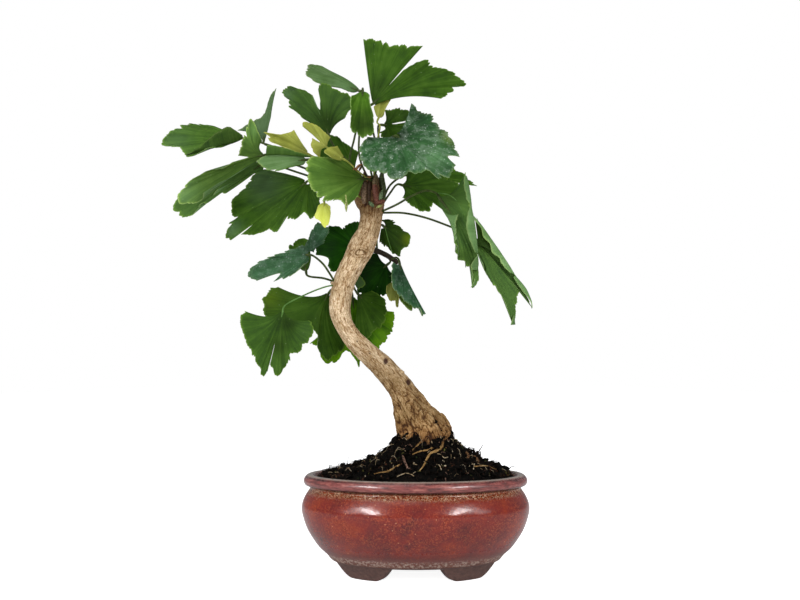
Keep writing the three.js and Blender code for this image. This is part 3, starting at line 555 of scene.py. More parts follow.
# %% Break line above the base, and the lip
broken = noise_texture(tree, place, scale_of(1.6), 4, 0.7)
line = ramp(tree, share, heights([(7.2, 0), (8.4, 1), (11.0, 1), (12.6, 0)]))
pale = ramp(tree, broken, [(0.46, 0), (0.58, 0.75)])
line_part = maths(tree, "MULTIPLY", line, pale)
lined = mix(tree, line_part, crystalled, "#a39084")
streak_place = stretched(tree, place, (0.35, 0.35, 2.2))
streaks = noise_texture(tree, streak_place, scale_of(3), 5, 0.7)
mauve = ramp(tree, streaks, [(0.36, "#4f302f"), (0.46, "#713d3a"), (0.54, "#864642"), (0.66, "#a1685d")])
lip_share = ramp(tree, still, heights([(54.9, 0), (55.4, 1)]))
lipped = mix(tree, lip_share, lined, mauve)
# painted shade: the lip's colour is darkened at the heights of the cove under its roll and of a thin line
# on the roll
lip_shade = ramp(tree, still, heights([
    (53.6, 1), (54.1, 0.12), (55.1, 0.12), (55.8, 0.75), (56.6, 1), (60.0, 1), (60.4, 0.5), (60.8, 0.5),
    (61.2, 1)]))
darkened = times(tree, lipped, lip_shade)
crown_share = ramp(tree, still, heights([(61.0, 0), (61.5, 0.85)]))
crowned = mix(tree, crown_share, darkened, "#8f8478")
print("glaze nodes so far:", len(tree.nodes))

# %% Bare clay, gloss and grain of the pot
clay_grain = noise_texture(tree, place, scale_of(2.5), 6, 0.7)
clay = ramp(tree, clay_grain, [(0.35, "#48332e"), (0.5, "#543c36"), (0.65, "#62473f")])
clay_share = ramp(tree, still, heights([(6.9, 1), (7.6, 0)]))
fired = mix(tree, clay_share, crowned, clay)
feed(tree, "Base Color", fired)
shine = ramp(tree, share, heights([
    (8, 0.72), (13, 0.36), (20, 0.2), (42, 0.14), (50, 0.25), (55, 0.16), (61.2, 0.25)]))
uneven = maths(tree, "MULTIPLY_ADD", broken, 0.14, -0.04)
roughness = maths(tree, "ADD", shine, uneven)
feed(tree, "Roughness", roughness)
skin = noise_texture(tree, place, scale_of(3.2), 3)
skin_bump = bump(tree, skin, 0.35, 0.22)
grain_bump = bump(tree, broken, 0.25, 0.12, skin_bump)
feed(tree, "Normal", grain_bump)
print("glaze nodes in all:", len(tree.nodes))

# %% The pot as a piece
pot_mesh.materials.clear()
pot_mesh.materials.append(glaze)
pot_mesh.name = "pot_glazed"
pot_mesh.shade_smooth()
pot = bpy.data.objects.new("pot_glazed", pot_mesh)
bpy.context.scene.collection.objects.link(pot)
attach(pot, "root")
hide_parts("pot")
print("pot:", triangles_of(pot_mesh), "triangles")

# %% [markdown]
# ## The soil
# The mound is peat with bark fibre: near-black, crumbly and full of short fibres.  One surface
# gives its shape, the same mound as the solid's, with crumbs pushed into it by fractal noise.
# A bump map alone would leave its outline smooth, so loose crumbs and fibres are real meshes.

# %% Shape of the mound
SOIL_EDGE = 59.5
ROOT_HEART = (5, 0)
BRIM = 65.85
HILL_HEIGHT = 42
HILL_WIDTH = 21


def soil_height(x, y):
    """The mound's height: a hill round the foot of the trunk, with soft lumps, flat at the brim."""
    share = np.hypot(x / BRIM, y / (BRIM - POT_SLIM))
    away = np.hypot(x - ROOT_HEART[0], y - ROOT_HEART[1])
    right = np.maximum(0, x - ROOT_HEART[0]) / np.maximum(away, 1)
    hill = HILL_HEIGHT / (1 + (away / (HILL_WIDTH + 3.3 * right)) ** 2.1)
    lumps = np.sin(0.41 * x + 1.7 * np.sin(0.23 * y)) * np.cos(0.37 * y + 1.3 * np.sin(0.31 * x))
    return SOIL_EDGE + (hill + lumps) * (1 - np.minimum(1, share) ** 9)


def roughen(points, size, octaves=4):
    """Fractal noise from about -1 to 1 at each point, with features of that size in millimetres."""
    return np.array([noise.fractal(Vector(p) / size, 0.9, 2.1, octaves) for p in points.tolist()])


print(f"mound: {float(soil_height(*ROOT_HEART)):.1f} mm high at the trunk, {SOIL_EDGE} mm at the brim")

# %% Soil surface
SOIL_RINGS = 110
SOIL_SIDES = 300
SOIL_FOOT = [(56.3, 12.3), (67.7, 31), (64.1, 54)]
peat, tree = new_material("peat and bark fibre", IOR=1.45, Specular_IOR_Level=0.05)
place = own_place(tree)
crumb = noise_texture(tree, place, scale_of(2.2), 8, 0.7)
tone = ramp(tree, crumb, [(0.38, "#010100"), (0.52, "#050403"), (0.62, "#110c08"), (0.74, "#33261a")])
feed(tree, "Base Color", tone)
damp = maths(tree, "MULTIPLY_ADD", crumb, 0.5, 0.5)
feed(tree, "Roughness", damp)
pit = bump(tree, crumb, 0.8, 0.5)
feed(tree, "Normal", pit)

shares = np.linspace(1, 0.012, SOIL_RINGS)
turns = np.arange(SOIL_SIDES) / SOIL_SIDES * 2 * math.pi
x = (shares[:, None] * BRIM * np.cos(turns)).ravel()
y = (shares[:, None] * (BRIM - POT_SLIM) * np.sin(turns)).ravel()
top = np.column_stack([x, y, soil_height(x, y)])
loose = np.minimum(1, (1 - np.repeat(shares, SOIL_SIDES)) * 14)
top[:, 2] += loose * (1.5 * roughen(top, 6) + 0.8 * roughen(top + 50, 1.8))
soil_points = np.vstack([oval_rings(SOIL_FOOT, SOIL_SIDES), top])
soil_faces = tube_faces(SOIL_RINGS + len(SOIL_FOOT), SOIL_SIDES)
make_piece("soil_mound", soil_points, soil_faces, [peat], "soil")
print(f"soil rises to {soil_points[:, 2].max():.1f} mm")

# %% [markdown]
# ## Where the roots run
# Thick tan roots leave the foot of the trunk, lie half buried on the mound and thin out.  Each is
# a list of [x, y, height above the mound, radius].  The soil is made before the wood, but the
# crumbs have to leave these roots bare, so the list comes first.

# %% Roots
ROOTS = [
    [[13, -4, 0, 2.2], [20, -4.5, 1.6, 2.5], [21, -8, 1.4, 2.2], [19.6, -12, 1.2, 1.3],
     [15.5, -21, 1.1, 1.3], [8.8, -27.2, 1, 1.1], [6.9, -28.8, 0.9, 1], [4.8, -35, 0.8, 0.8],
     [1.6, -39.8, 0.5, 0.5]],
    [[15, -12, 0, 1.4], [11.8, -16, 1.1, 1.25], [4.6, -18.5, 1.1, 1.1], [0.1, -21, 0.9, 0.8],
     [-2.5, -21.8, 0.4, 0.5]],
    [[11, -21, -0.5, 0.9], [7.7, -23.5, 0.9, 0.75], [1.3, -24, 0.9, 0.75], [-2.6, -25.2, 0.4, 0.55]],
    [[34, -27, -0.5, 0.8], [38.7, -26, 0.9, 0.75], [44.9, -20.8, 0.9, 0.65], [52.2, -15.2, 0.5, 0.5]],
    [[-10, -30, -0.8, 0.9], [-13.7, -33.5, 0.7, 0.9], [-17.7, -35.8, 0.8, 0.8], [-22.7, -35.8, 0.7, 0.7],
     [-29, -33.8, 0.2, 0.5]],
    [[20, 2, -2, 2.2], [28, 5, 0.6, 1.8], [38, 12, 0.4, 1.1]],
    [[9, 14, -2, 2.2], [11, 22, 0.9, 1.8], [5, 35, 0.2, 1]],
    [[-8, 8, -2, 2.2], [-16, 12, 0.8, 1.8], [-32, 19, 0.2, 1]],
]
ROOT_SLIM = 0.8


def laid(route):
    """The route with its third number turned from height above the mound into height."""
    return np.array([[x, y, float(soil_height(x, y)) + lift, ROOT_SLIM * radius]
                     for x, y, lift, radius in route])


root_paths = [spline(laid(root), 12) for root in ROOTS]
root_line = np.vstack(root_paths)
print("roots:", len(ROOTS), "- longest", round(max(path_length(path) for path in root_paths)), "mm")

# %% [markdown]
# ## Crumbs
# Lumps of peat are lying loose on the mound.  A small ball of triangles is pushed out of shape,
# stretched and turned at random, many times over.  The random numbers have a fixed seed, so the
# mound is the same each time the script runs.  Only the bigger crumbs get a fine ball, because
# the small ones are barely wider than a pixel of a large picture.

# %% Crumbs
CRUMBS = 1500
ONE_BIG_IN = 5
chance = np.random.default_rng(21)


def ball(fineness):
    """Points and triangles of a small ball with a radius of 1."""
    shape = bmesh.new()
    bmesh.ops.create_icosphere(shape, subdivisions=fineness, radius=1)
    points = np.array([v.co[:] for v in shape.verts])
    faces = [[v.index for v in f.verts] for f in shape.faces]
    shape.free()
    return points, faces


def spot_at(turn, share):
    """The spot on the mound in that direction, at a share of the way to the brim."""
    x = share * BRIM * math.cos(turn)
    y = share * (BRIM - POT_SLIM) * math.sin(turn)
    return np.array([x, y, float(soil_height(x, y))])


def spot_on_soil(reach=0.95):
    """A random spot on the mound, more often near the trunk, where the heap is."""
    turn = chance.uniform(0, 2 * math.pi)
    return spot_at(turn, reach * chance.uniform(0, 1) ** 0.62)


def clear_of_roots(spot, room):
    """Whether a spot is at least that many millimetres away from the side of every root."""
    return (np.linalg.norm(root_line[:, :3] - spot, axis=1) - root_line[:, 3]).min() > room


def random_turn():
    """A random rotation, as three unit vectors square to each other."""
    turned, _ = np.linalg.qr(chance.normal(size=(3, 3)))
    return turned


print("triangles of a small ball:", len(ball(1)[1]), "- of a finer one:", len(ball(2)[1]))

# %% Placing the crumbs
balls = {fineness: ball(fineness) for fineness in (1, 2)}
crumb_points, crumb_faces = [], []
for number in range(CRUMBS):
    small = number % ONE_BIG_IN > 0
    size = chance.uniform(0.45, 1.15) if small else chance.uniform(1.1, 2.3)
    ball_points, ball_faces = balls[1 if small else 2]
    stretch = chance.uniform([0.5, 0.6, 0.8], [1.0, 1.1, 1.9]) * size
    bumps = 1 + 0.4 * roughen(ball_points + number, 0.8, 2)
    lump = (ball_points * bumps[:, None] * stretch) @ random_turn()
    middle = spot_on_soil() + [0, 0, chance.uniform(0.2, 0.9) * size]
    if clear_of_roots(middle, 0.5 * size):
        first = sum(len(points) for points in crumb_points)
        crumb_faces += [[index + first for index in face] for face in ball_faces]
        crumb_points.append(lump + middle)
make_piece("soil_crumbs", np.vstack(crumb_points), crumb_faces, [peat])

# %% [markdown]
# ## Fibres, twigs and rootlets
# Peat and coir leave short dark fibres standing out of the soil, and fine pale roots run over it.
# Each one is a thin tapered tube along a path that sets off at random, rather outwards than in,
# bends a little at every step, and is pulled down again by its weight.


# %% Fibres
def strand(start, heading, length, radius, kink, sag):
    """A wandering path of [x, y, z, radius] that starts at a point and gets thinner."""
    steps = 7
    place = np.array(start, float)
    path = []
    for step in range(steps + 1):
        path.append([*place, radius * (1 - 0.75 * step / steps)])
        heading = unit(heading + chance.normal(0, kink, 3) - [0, 0, sag * step / steps])
        place = place + heading * length / steps
        low = float(soil_height(place[0], place[1])) - 0.3
        place[2] = max(place[2], low)
        share = math.hypot(place[0] / (BRIM + 2), place[1] / (BRIM + 2 - POT_SLIM))
        if share > 1:
            place[:2] /= share
    return np.array(path)


def strands(name, material, paths, sides=5, tones=None):
    """Many tubes as one piece.  tones gives each tube a number that its material can read."""
    points, faces, values = [], [], []
    for number, path in enumerate(paths):
        faces += tube_faces(len(path), sides, sum(len(p) for p in points))
        points.append(tube_points(path, sides))
        values += [tones[number] if tones else 0.5] * len(points[-1])
    piece = make_piece(name, np.vstack(points), faces, [material])
    note_values(piece, "tone", values)
    return piece


print("a fibre has 8 rings of 5 points")


# %% Material of the fibres
def evenly_placed(swatches, start, stop):
    """Stops of a ramp that change from the first swatch to the last between two places."""
    places = [start + (stop - start) * i / (len(swatches) - 1) for i in range(len(swatches))]
    return list(zip(places, swatches))


def fibre_material(name, swatches, roughness):
    """Dry plant fibre: matt, its colour changing from one strand to the next."""
    material, tree = new_material(name, IOR=1.45, Roughness=roughness, Specular_IOR_Level=0.1)
    place = own_place(tree)
    tone = noise_texture(tree, place, scale_of(3.5), 4, 0.7)
    tinted = ramp(tree, tone, evenly_placed(swatches, 0.3, 0.7))
    feed(tree, "Base Color", tinted)
    wrinkle = noise_texture(tree, place, scale_of(0.7), 2)
    wrinkled = bump(tree, wrinkle, 0.5, 0.1)
    feed(tree, "Normal", wrinkled)
    return material

print("materials so far:", [material.name for material in bpy.data.materials])


# %% Dark fibres
def slope_out(spot):
    """Level direction away from the middle of the mound."""
    return unit(np.array([spot[0] - ROOT_HEART[0], spot[1] * 1.3, 0.001]))


SPLINTERS = [
    [[38, -4, 71], [44.6, -5, 81], 0.6], [[41, -6, 70.5], [43, -6, 77], 0.7],
    [[-27, -4, 69.5], [-34.6, -5, 74.5], 0.45], [[-37, -4, 65.5], [-45.2, -6, 68.6], 0.4],
    [[23, -3, 84], [30.5, -4, 82.2], 0.7], [[44, -8, 66], [46, -8, 72.4], 0.5],
]
dark_fibre = fibre_material("coir and peat fibre", ["#060403", "#130d08", "#2c1d12"], 0.85)
FIBRES = 1200
TWIGS = 150
dark_paths = []
for number in range(FIBRES):
    spot = spot_on_soil(0.97)
    heading = unit(chance.normal(size=3) * [1, 1, 0.35] + [0, 0, 0.45] + 0.5 * slope_out(spot))
    length = chance.uniform(2.5, 7) if number % 9 else chance.uniform(7, 13)
    dark_paths.append(strand(spot, heading, length, chance.uniform(0.12, 0.4), 0.35, 0.8))
for number in range(TWIGS):
    spot = spot_on_soil(0.9)
    heading = unit(chance.normal(size=3) * [1, 1, 0.3] + [0, 0, 0.8] + 0.8 * slope_out(spot))
    dark_paths.append(strand(spot, heading, chance.uniform(4, 10), chance.uniform(0.3, 0.55), 0.3, 0.5))
for start, tip, radius in SPLINTERS:
    dark_paths.append(evenly(np.array([[*start, radius], [*tip, 0.3 * radius]]), 7))
strands("soil_fibres", dark_fibre, dark_paths)

# %% Pale rootlets
ROOTLETS = 150
pale_fibre = fibre_material("fine ginkgo roots", ["#6d563c", "#a08c6c", "#d8ccb4"], 0.6)
PALE_ROUTES = [
    [[2.1, -17], [4.4, -16.8], [6.6, -17.2]], [[14.6, -12.2], [15.8, -13], [16.4, -16]],
    [[10.1, -18.5], [10.7, -20.5], [11.6, -21.8]], [[-2, -32.5], [-0.6, -33.4], [0.5, -33.8]],
    [[13, -34.5], [14.5, -36.2], [15.4, -39.2]],
    [[13.6, -26.2], [15.9, -26.5], [17.7, -28.8], [20.3, -26.2]],
    [[40.5, -13], [37.2, -25], [36, -31.8]], [[37.2, -25], [34.5, -27.5], [33.5, -30]],
    [[-12.4, -43], [-10.2, -42.2], [-6.5, -42], [-3.4, -42.8], [-1.6, -44]],
    [[-6, -18.5], [-5, -20.5], [-7, -23]], [[23, -18], [24.4, -22.2], [24.4, -27]],
]
pale_paths = [spline(laid([[x, y, 1.3, 0.34] for x, y in route]), 4) for route in PALE_ROUTES]
for number in range(ROOTLETS):
    spot = spot_on_soil(0.9)
    heading = unit(chance.normal(size=3) * [1, 1, 0.2] + [0, 0, 0.25] + 1.0 * slope_out(spot))
    pale_paths.append(strand(spot + [0, 0, 0.6], heading, chance.uniform(3, 12),
                             chance.uniform(0.1, 0.24), 0.3, 0.9))
strands("soil_rootlets", pale_fibre, pale_paths)

# %% [markdown]
# ## Bits in the soil
# Between the black crumbs lie chips of bark, dry leaf bases, a little moss and pale grit.  They
# are short bent tubes.  Each one keeps a number of its own, and the material turns that number
# into a colour, so one material makes them all.

# %% Bits in the soil
TONES = ["#120c08", "#3a2416", "#5d3826", "#7d5a3a", "#8a6a5a", "#5b5a26", "#2f3a18", "#b8ab90"]
CHIPS = [
    [[[-8.3, -25.2], [-7.7, -28.8], [-6.4, -34], [-5.3, -37.8]], 1.0, 0.55],
    [[[33, -12], [34, -16], [33, -20]], 1.2, 0.4], [[[38, -10], [40, -13], [40, -17]], 1.3, 0.42],
    [[[-7.5, -17.5], [-4, -18.6], [-2.5, -20]], 0.6, 0.55],
]
scrap, tree = new_material("bark chips and moss", IOR=1.45, Roughness=0.8, Specular_IOR_Level=0.15)
tone_in = noted(tree, "tone")
tone = ramp(tree, tone_in, [(i / len(TONES), t) for i, t in enumerate(TONES)])
tone.color_ramp.interpolation = "CONSTANT"
place = own_place(tree)
dirt = noise_texture(tree, place, scale_of(1.2), 4)
grime = ramp(tree, dirt, [(0.4, "#4c4038"), (0.6, "#ffffff")])
dirty = times(tree, tone, grime)
feed(tree, "Base Color", dirty)
print("colours of the bits:", len(TONES))

# %% Placing the bits
BITS, BITS_AT_BRIM = 520, 420
bit_paths, bit_tones = [], []
for number in range(BITS):
    spot = spot_on_soil(0.97) + [0, 0, 0.9]
    if not clear_of_roots(spot, 0.4):
        continue
    heading = unit(chance.normal(size=3) * [1, 1, 0.3] + 0.4 * slope_out(spot))
    bit_paths.append(strand(spot, heading, chance.uniform(1, 3.6), chance.uniform(0.25, 0.62), 0.3, 0.6))
    bit_tones.append(float(chance.choice([0.06, 0.2, 0.2, 0.3, 0.4, 0.55, 0.7, 0.8, 0.93])))
for number in range(BITS_AT_BRIM):
    turn = chance.normal(-0.22, 0.3) if number % 3 else chance.normal(3.3, 0.3)
    spot = spot_at(turn, chance.uniform(0.72, 0.985)) + [0, 0, 0.6]
    heading = unit(chance.normal(size=3) * [1, 1, 0.5] + [0, 0, 0.3])
    bit_paths.append(strand(spot, heading, chance.uniform(1, 3), chance.uniform(0.16, 0.34), 0.45, 0.4))
    bit_tones.append(float(chance.choice([0.06, 0.2, 0.2, 0.3, 0.3, 0.4, 0.7])))
for route, radius, value in CHIPS:
    bit_paths.append(spline(laid([[x, y, 1.0, radius] for x, y in route]), 5))
    bit_tones.append(value)
strands("soil_bits", scrap, bit_paths, 5, bit_tones)

# %% [markdown]
# ## The trunk
# A young ginkgo stem: tan bark with a net of shallow lengthwise cracks, wrinkled where it bends,
# swollen at old leaf scars and gnarled where it meets the soil.  The lists below are the middle
# of each limb and its radius.  The limbs are swept as tubes, and a voxel remesh melts them into
# one skin, as wood grows.  Cracks follow the limb, so the bark is carved afterwards, in code,
# with noise that is stretched along the nearest limb.

# %% Limbs of the trunk
TRUNK = [
    [8, 0, 76, 19], [6, 0, 84, 18], [3.8, 0, 90.5, 16.4], [-0.2, 0, 98, 14], [-3.8, 0, 106, 11.6],
    [-7.6, 0, 114, 9.3], [-13.6, -1, 122.6, 8.1], [-21, -2, 131.3, 7.6], [-29.6, -3, 139.6, 7.1],
    [-39, -3, 148.2, 6.5], [-46, -2, 157.5, 6.1], [-50, -1, 167.5, 6.7], [-50.4, 0, 178, 7.3],
    [-47.4, 1, 191, 7.6], [-41, 1, 203.5, 8.1], [-36.4, 1, 213.8, 8.8], [-31.6, 0, 224.5, 7.5],
    [-29.8, 0, 237, 7.9], [-30.6, 0, 246.5, 10.4], [-30, 0, 254, 9.2], [-29.2, 0, 261, 5.5],
]
SHOOTS = [
    [[-38, 2, 213, 3.4], [-29, 9, 212.5, 2.2], [-19, 14, 209, 1.8], [-11.5, 15, 204, 1.5]],
    [[-47, 0, 189, 3.2], [-53, 0, 188.6, 2.4], [-57, 0.5, 188, 1.6]],
    [[-47, 2, 188, 3.2], [-45.5, 8, 188, 2.4], [-44.5, 12, 187.6, 1.6]],
]
KNOTS = [
    [[-12, -3, 125], [-8.4, -3.6, 129.6], 2.1],
    [[-40, -3, 211], [-43.6, -5, 212.6], 3.4],
    [[-33, -2, 244], [-38.4, -3, 244.6], 4.4],
    [[-30, -4, 219], [-26.5, -8, 217], 2.6],
    [[-2, -7, 104], [-3, -11, 102], 3],
]


def bark_relief(turn, along):
    """Shallow ridges that wander up the bark, and burls that swell the foot of the trunk."""
    ridges = 0.035 * np.sin(5 * turn + 9 * along) + 0.02 * np.sin(8 * turn - 14 * along)
    burl = np.maximum(0, 0.22 - along) * (0.45 * np.sin(4 * turn + 0.6) + 0.3 * np.sin(7 * turn))
    return 1 + np.minimum(1, np.minimum(12 * along, 12 * (1 - along))) * (ridges + burl)


limbs = [(spline(TRUNK, 14), 64, bark_relief)]
limbs += [(spline(shoot, 14), 24, None) for shoot in SHOOTS]
limbs += [(path, 20, None) for path in root_paths]
for start, tip, radius in KNOTS:
    limbs.append((evenly(np.array([[*start, radius * 1.3], [*tip, radius * 0.7]]), 8), 24, None))
print("limbs:", len(limbs), "- trunk length", round(path_length(limbs[0][0])), "mm")

# %% Melting the limbs into one skin
VOXEL = 0.48
limb_points, limb_faces = [], []
for path, sides, relief in limbs:
    limb_faces += tube_faces(len(path), sides, sum(len(p) for p in limb_points))
    limb_points.append(tube_points(path, sides, relief))
wood = plain_object("wood", np.vstack(limb_points), limb_faces)
remesh = wood.modifiers.new("one skin", "REMESH")
remesh.mode = "VOXEL"
remesh.voxel_size = VOXEL * MM
wood_mesh = worked_mesh(wood, [])
wood_place = np.array([v.co[:] for v in wood_mesh.vertices])
wood_place = (wood_place - POT_MIDDLE) / MM
wood_faces = [list(p.vertices) for p in wood_mesh.polygons]
print("wood skin:", len(wood_place), "points")

# %% [markdown]
# ## Carving the bark
# For each point of the skin the nearest place on a limb's middle line is found.  That gives how
# far along the limb the point is, and where it is round it.  Noise in those two directions,
# stretched along the limb, has lines where it crosses zero: those lines become the cracks.
# How deep each point lies is kept for the material, because dirt and shade sit in the cracks.


# %% Nearest limb
def stations(path):
    """For each point of a path: its place, radius, two directions across, and millimetres along."""
    return np.column_stack([path, *directions_across(path), along_path(path)])


def nearest_rows(table, places):
    """For each place: the number of the nearest row of a table of stations, and how far it is."""
    tree = KDTree(len(table))
    for index, row in enumerate(table):
        tree.insert(row[:3], index)
    tree.balance()
    found = [tree.find(place) for place in places.tolist()]
    return np.array([hit[1] for hit in found]), np.array([hit[2] for hit in found])


trunk_table = stations(limbs[0][0])
side_paths = [limb[0] for limb in limbs[1:]]
side_table = np.vstack([stations(path) for path in side_paths])
side_kinds = ["shoot"] * len(SHOOTS) + ["root"] * len(ROOTS) + ["knot"] * len(KNOTS)
side_kind = np.repeat(side_kinds, [len(path) for path in side_paths])
rows, distance = nearest_rows(trunk_table, wood_place)
side_rows, side_distance = nearest_rows(side_table, wood_place)
on_side = (side_distance < side_table[side_rows, 3] * 1.5) & (distance > trunk_table[rows, 3] * 1.15)
near = np.where(on_side[:, None], side_table[side_rows], trunk_table[rows])
offset = wood_place - near[:, :3]
round_a = np.einsum("ij,ij->i", offset, near[:, 4:7])
round_b = np.einsum("ij,ij->i", offset, near[:, 7:10])
grain = np.column_stack([round_a, round_b, near[:, 10] + 400 * on_side])
print("points of the skin that belong to a side limb:", int(on_side.sum()))

# %% Cracks, plates and wrinkles
CRACK_WIDTH = 1.25
CRACK_LENGTH = 5.2
SCARS = [[-19.5, 136, 1.5, 1], [-4.5, 122, 1.5, 1], [-38.5, 149, 0.7, 0.6], [-30, 141, 0.7, 0.6],
         [-31.5, 248, 1.5, 1], [-31.5, 244, 1.2, 1], [-30, 252, 1.6, 1], [-33.5, 240.5, 1, 0.9]]
COLLAR = (-36.5, 208, 7.5)
COLLAR_RING = 3.2
THROAT = 234.5
ROUGH_BELOW = 126


def zero_lines(values, width):
    """1 where noise crosses zero and 0 away from it, which draws thin branching lines."""
    return np.exp(-(values / width) ** 2)


def grain_noise(across, along, shift):
    """Noise on the bark, with features that many millimetres wide and long."""
    scaled = grain / [across, across, along] + shift
    return np.array([noise.noise(Vector(p)) for p in scaled.tolist()])


net = zero_lines(grain_noise(CRACK_WIDTH, CRACK_LENGTH, 0), 0.11)
collar_gap = np.hypot(wood_place[:, 0] - COLLAR[0], 1.9 * (wood_place[:, 2] - COLLAR[1]))
collar_gap = collar_gap + 1.4 * grain_noise(3, 3, 77)
collar_part = np.clip(-2 - wood_place[:, 1], 0, 1) * np.exp(-(collar_gap / COLLAR[2]) ** 4)
collar = collar_part * np.maximum(0, np.cos(collar_gap * 2 * math.pi / COLLAR_RING)) ** 2
throat = np.exp(-((wood_place[:, 2] - THROAT) / 3) ** 4)
net = np.maximum(net, np.maximum(collar, 0.8 * throat * zero_lines(grain_noise(3, 1.6, 19), 0.12)))
rough = np.clip((ROUGH_BELOW - wood_place[:, 2]) / 24, 0, 1) * ~on_side
flakes = grain_noise(4.2, 6.5, 171)
torn = rough * zero_lines(grain_noise(3.2, 8, 203), 0.1)
fine_net = zero_lines(grain_noise(CRACK_WIDTH * 0.55, CRACK_LENGTH * 0.5, 31), 0.12)
plates = grain_noise(CRACK_WIDTH * 2.1, CRACK_LENGTH * 1.5, 57)
wrinkles = grain_noise(9, 2.6, 91)
swell = grain_noise(8, 17, 13)
thick = np.clip(near[:, 3] / 8, 0.35, 1.5)
outward = unit(np.array([v.normal[:] for v in wood_mesh.vertices]))
scar = np.zeros(len(wood_place))
for x, z, size, depth in SCARS:
    gap = np.hypot(wood_place[:, 0] - x, 0.7 * (wood_place[:, 2] - z)) / size
    scar = np.maximum(scar, depth * np.exp(-gap ** 2) * (outward[:, 1] < -0.1))
is_root = on_side & (side_kind[side_rows] == "root")
crack = np.clip(0.6 * net + 0.4 * fine_net - 0.25 * plates + 0.9 * torn - 0.5 * rough * flakes, 0, 1)
push = thick * (-0.24 * net - 0.14 * fine_net + 0.3 * plates + 0.2 * wrinkles + 0.45 * swell) - 0.9 * scar
push = push - 1.0 * torn + 1.3 * rough * flakes + 1.2 * collar_part - 1.7 * collar
crack = np.maximum(crack, 0.9 * collar)
wood_place = wood_place + outward * push[:, None]
bpy.data.meshes.remove(wood_mesh)
print(f"bark moved by {push.min():.2f} to {push.max():.2f} mm")

# %% Bark material
TRUNK_TOP = 260
SHADED_SHOOT_RADIUS = 3
bark, tree = new_material("ginkgo bark", IOR=1.45, Specular_IOR_Level=0.2)
crack_in = noted(tree, "crack")
scar_in = noted(tree, "scar")
root_in = noted(tree, "root")
grain_in = noted(tree, "grain", "Vector")
place = own_place(tree)
streak_place = stretched(tree, grain_in, (1.7, 1.7, 0.3))
streak = noise_texture(tree, streak_place, 1.0, 5, 0.7)
tan = ramp(tree, streak, [(0.33, "#98846c"), (0.45, "#cbb698"), (0.55, "#e6d4ba"), (0.68, "#fff6e8")])
cloud = noise_texture(tree, place, scale_of(11), 5, 0.65)
stain = ramp(tree, cloud, [(0.4, "#c4b8a2"), (0.62, "#ffffff")])
clouded = times(tree, tan, stain, 0.8)
depth = ramp(tree, crack_in, [(0.1, "#ffffff"), (0.5, "#ccbaa2"), (0.95, "#78624a")])
shaded = times(tree, clouded, depth)
trunk_height = add(tree, "SeparateXYZ", {0: place}).outputs["Z"]
height_share = maths(tree, "MULTIPLY", trunk_height, 1 / (TRUNK_TOP * MM))
# painted shadow: the bark is darkened at the top, under the leaves of the crown; it is darker towards the
# soil too
height_tone_and_crown_shadow = ramp(tree, height_share, [
    (0.33, "#8c6e4a"), (0.35, "#c0a076"), (0.39, "#c8b490"), (0.48, "#ccbea4"), (0.58, "#fffaf2"),
    (0.8, "#fff8ec"), (0.89, "#d4c8b4"), (0.92, "#a8967e"), (0.95, "#a08c74")])
toned_and_shadowed = times(tree, shaded, height_tone_and_crown_shadow)
root_tan = ramp(tree, streak, [(0.36, "#52391e"), (0.5, "#94703e"), (0.64, "#c4a26c")])
rooted = mix(tree, root_in, toned_and_shadowed, root_tan)
scar_share = ramp(tree, scar_in, [(0.2, 0), (0.6, 0.95)])
scarred = mix(tree, scar_share, rooted, "#35190f")
# painted shade: the thin side shoots stand in the shade of the crown and are painted near-black
shoot_shade_in = noted(tree, "shoot_shade")
shoots_shaded = mix(tree, shoot_shade_in, scarred, "#0b0805")
feed(tree, "Base Color", shoots_shaded)
dry = maths(tree, "MULTIPLY_ADD", streak, 0.3, 0.62)
feed(tree, "Roughness", dry)
fibre_place = stretched(tree, grain_in, (2.6, 2.6, 0.6))
fibre = noise_texture(tree, fibre_place, 1.0, 4, 0.7)
fibre_bump = bump(tree, fibre, 0.8, 0.5)
feed(tree, "Normal", fibre_bump)

trunk = make_piece("trunk_bark", wood_place, wood_faces, [bark], "trunk")
note_values(trunk, "crack", crack)
note_values(trunk, "scar", scar)
note_values(trunk, "root", is_root)
# painted shade on the thin side shoots, for the bark material to read
is_shaded_shoot = on_side & (side_kind[side_rows] == "shoot") & (near[:, 3] < SHADED_SHOOT_RADIUS)
note_values(trunk, "shoot_shade", 0.95 * is_shaded_shoot)
note_vectors(trunk, "grain", grain)

# %% [markdown]
# ## Buds on the knob
# The stem ends in a knob where the leaves of many springs grew from one place.  Its old bud scales
# stand round it like brown shingles, a long red-brown one in front, and small green buds sit
# between them.  Each is a tube that is thick in the middle, comes to a point and has soft ribs.
# Like the bits in the soil, each keeps a number that its material turns into a colour.

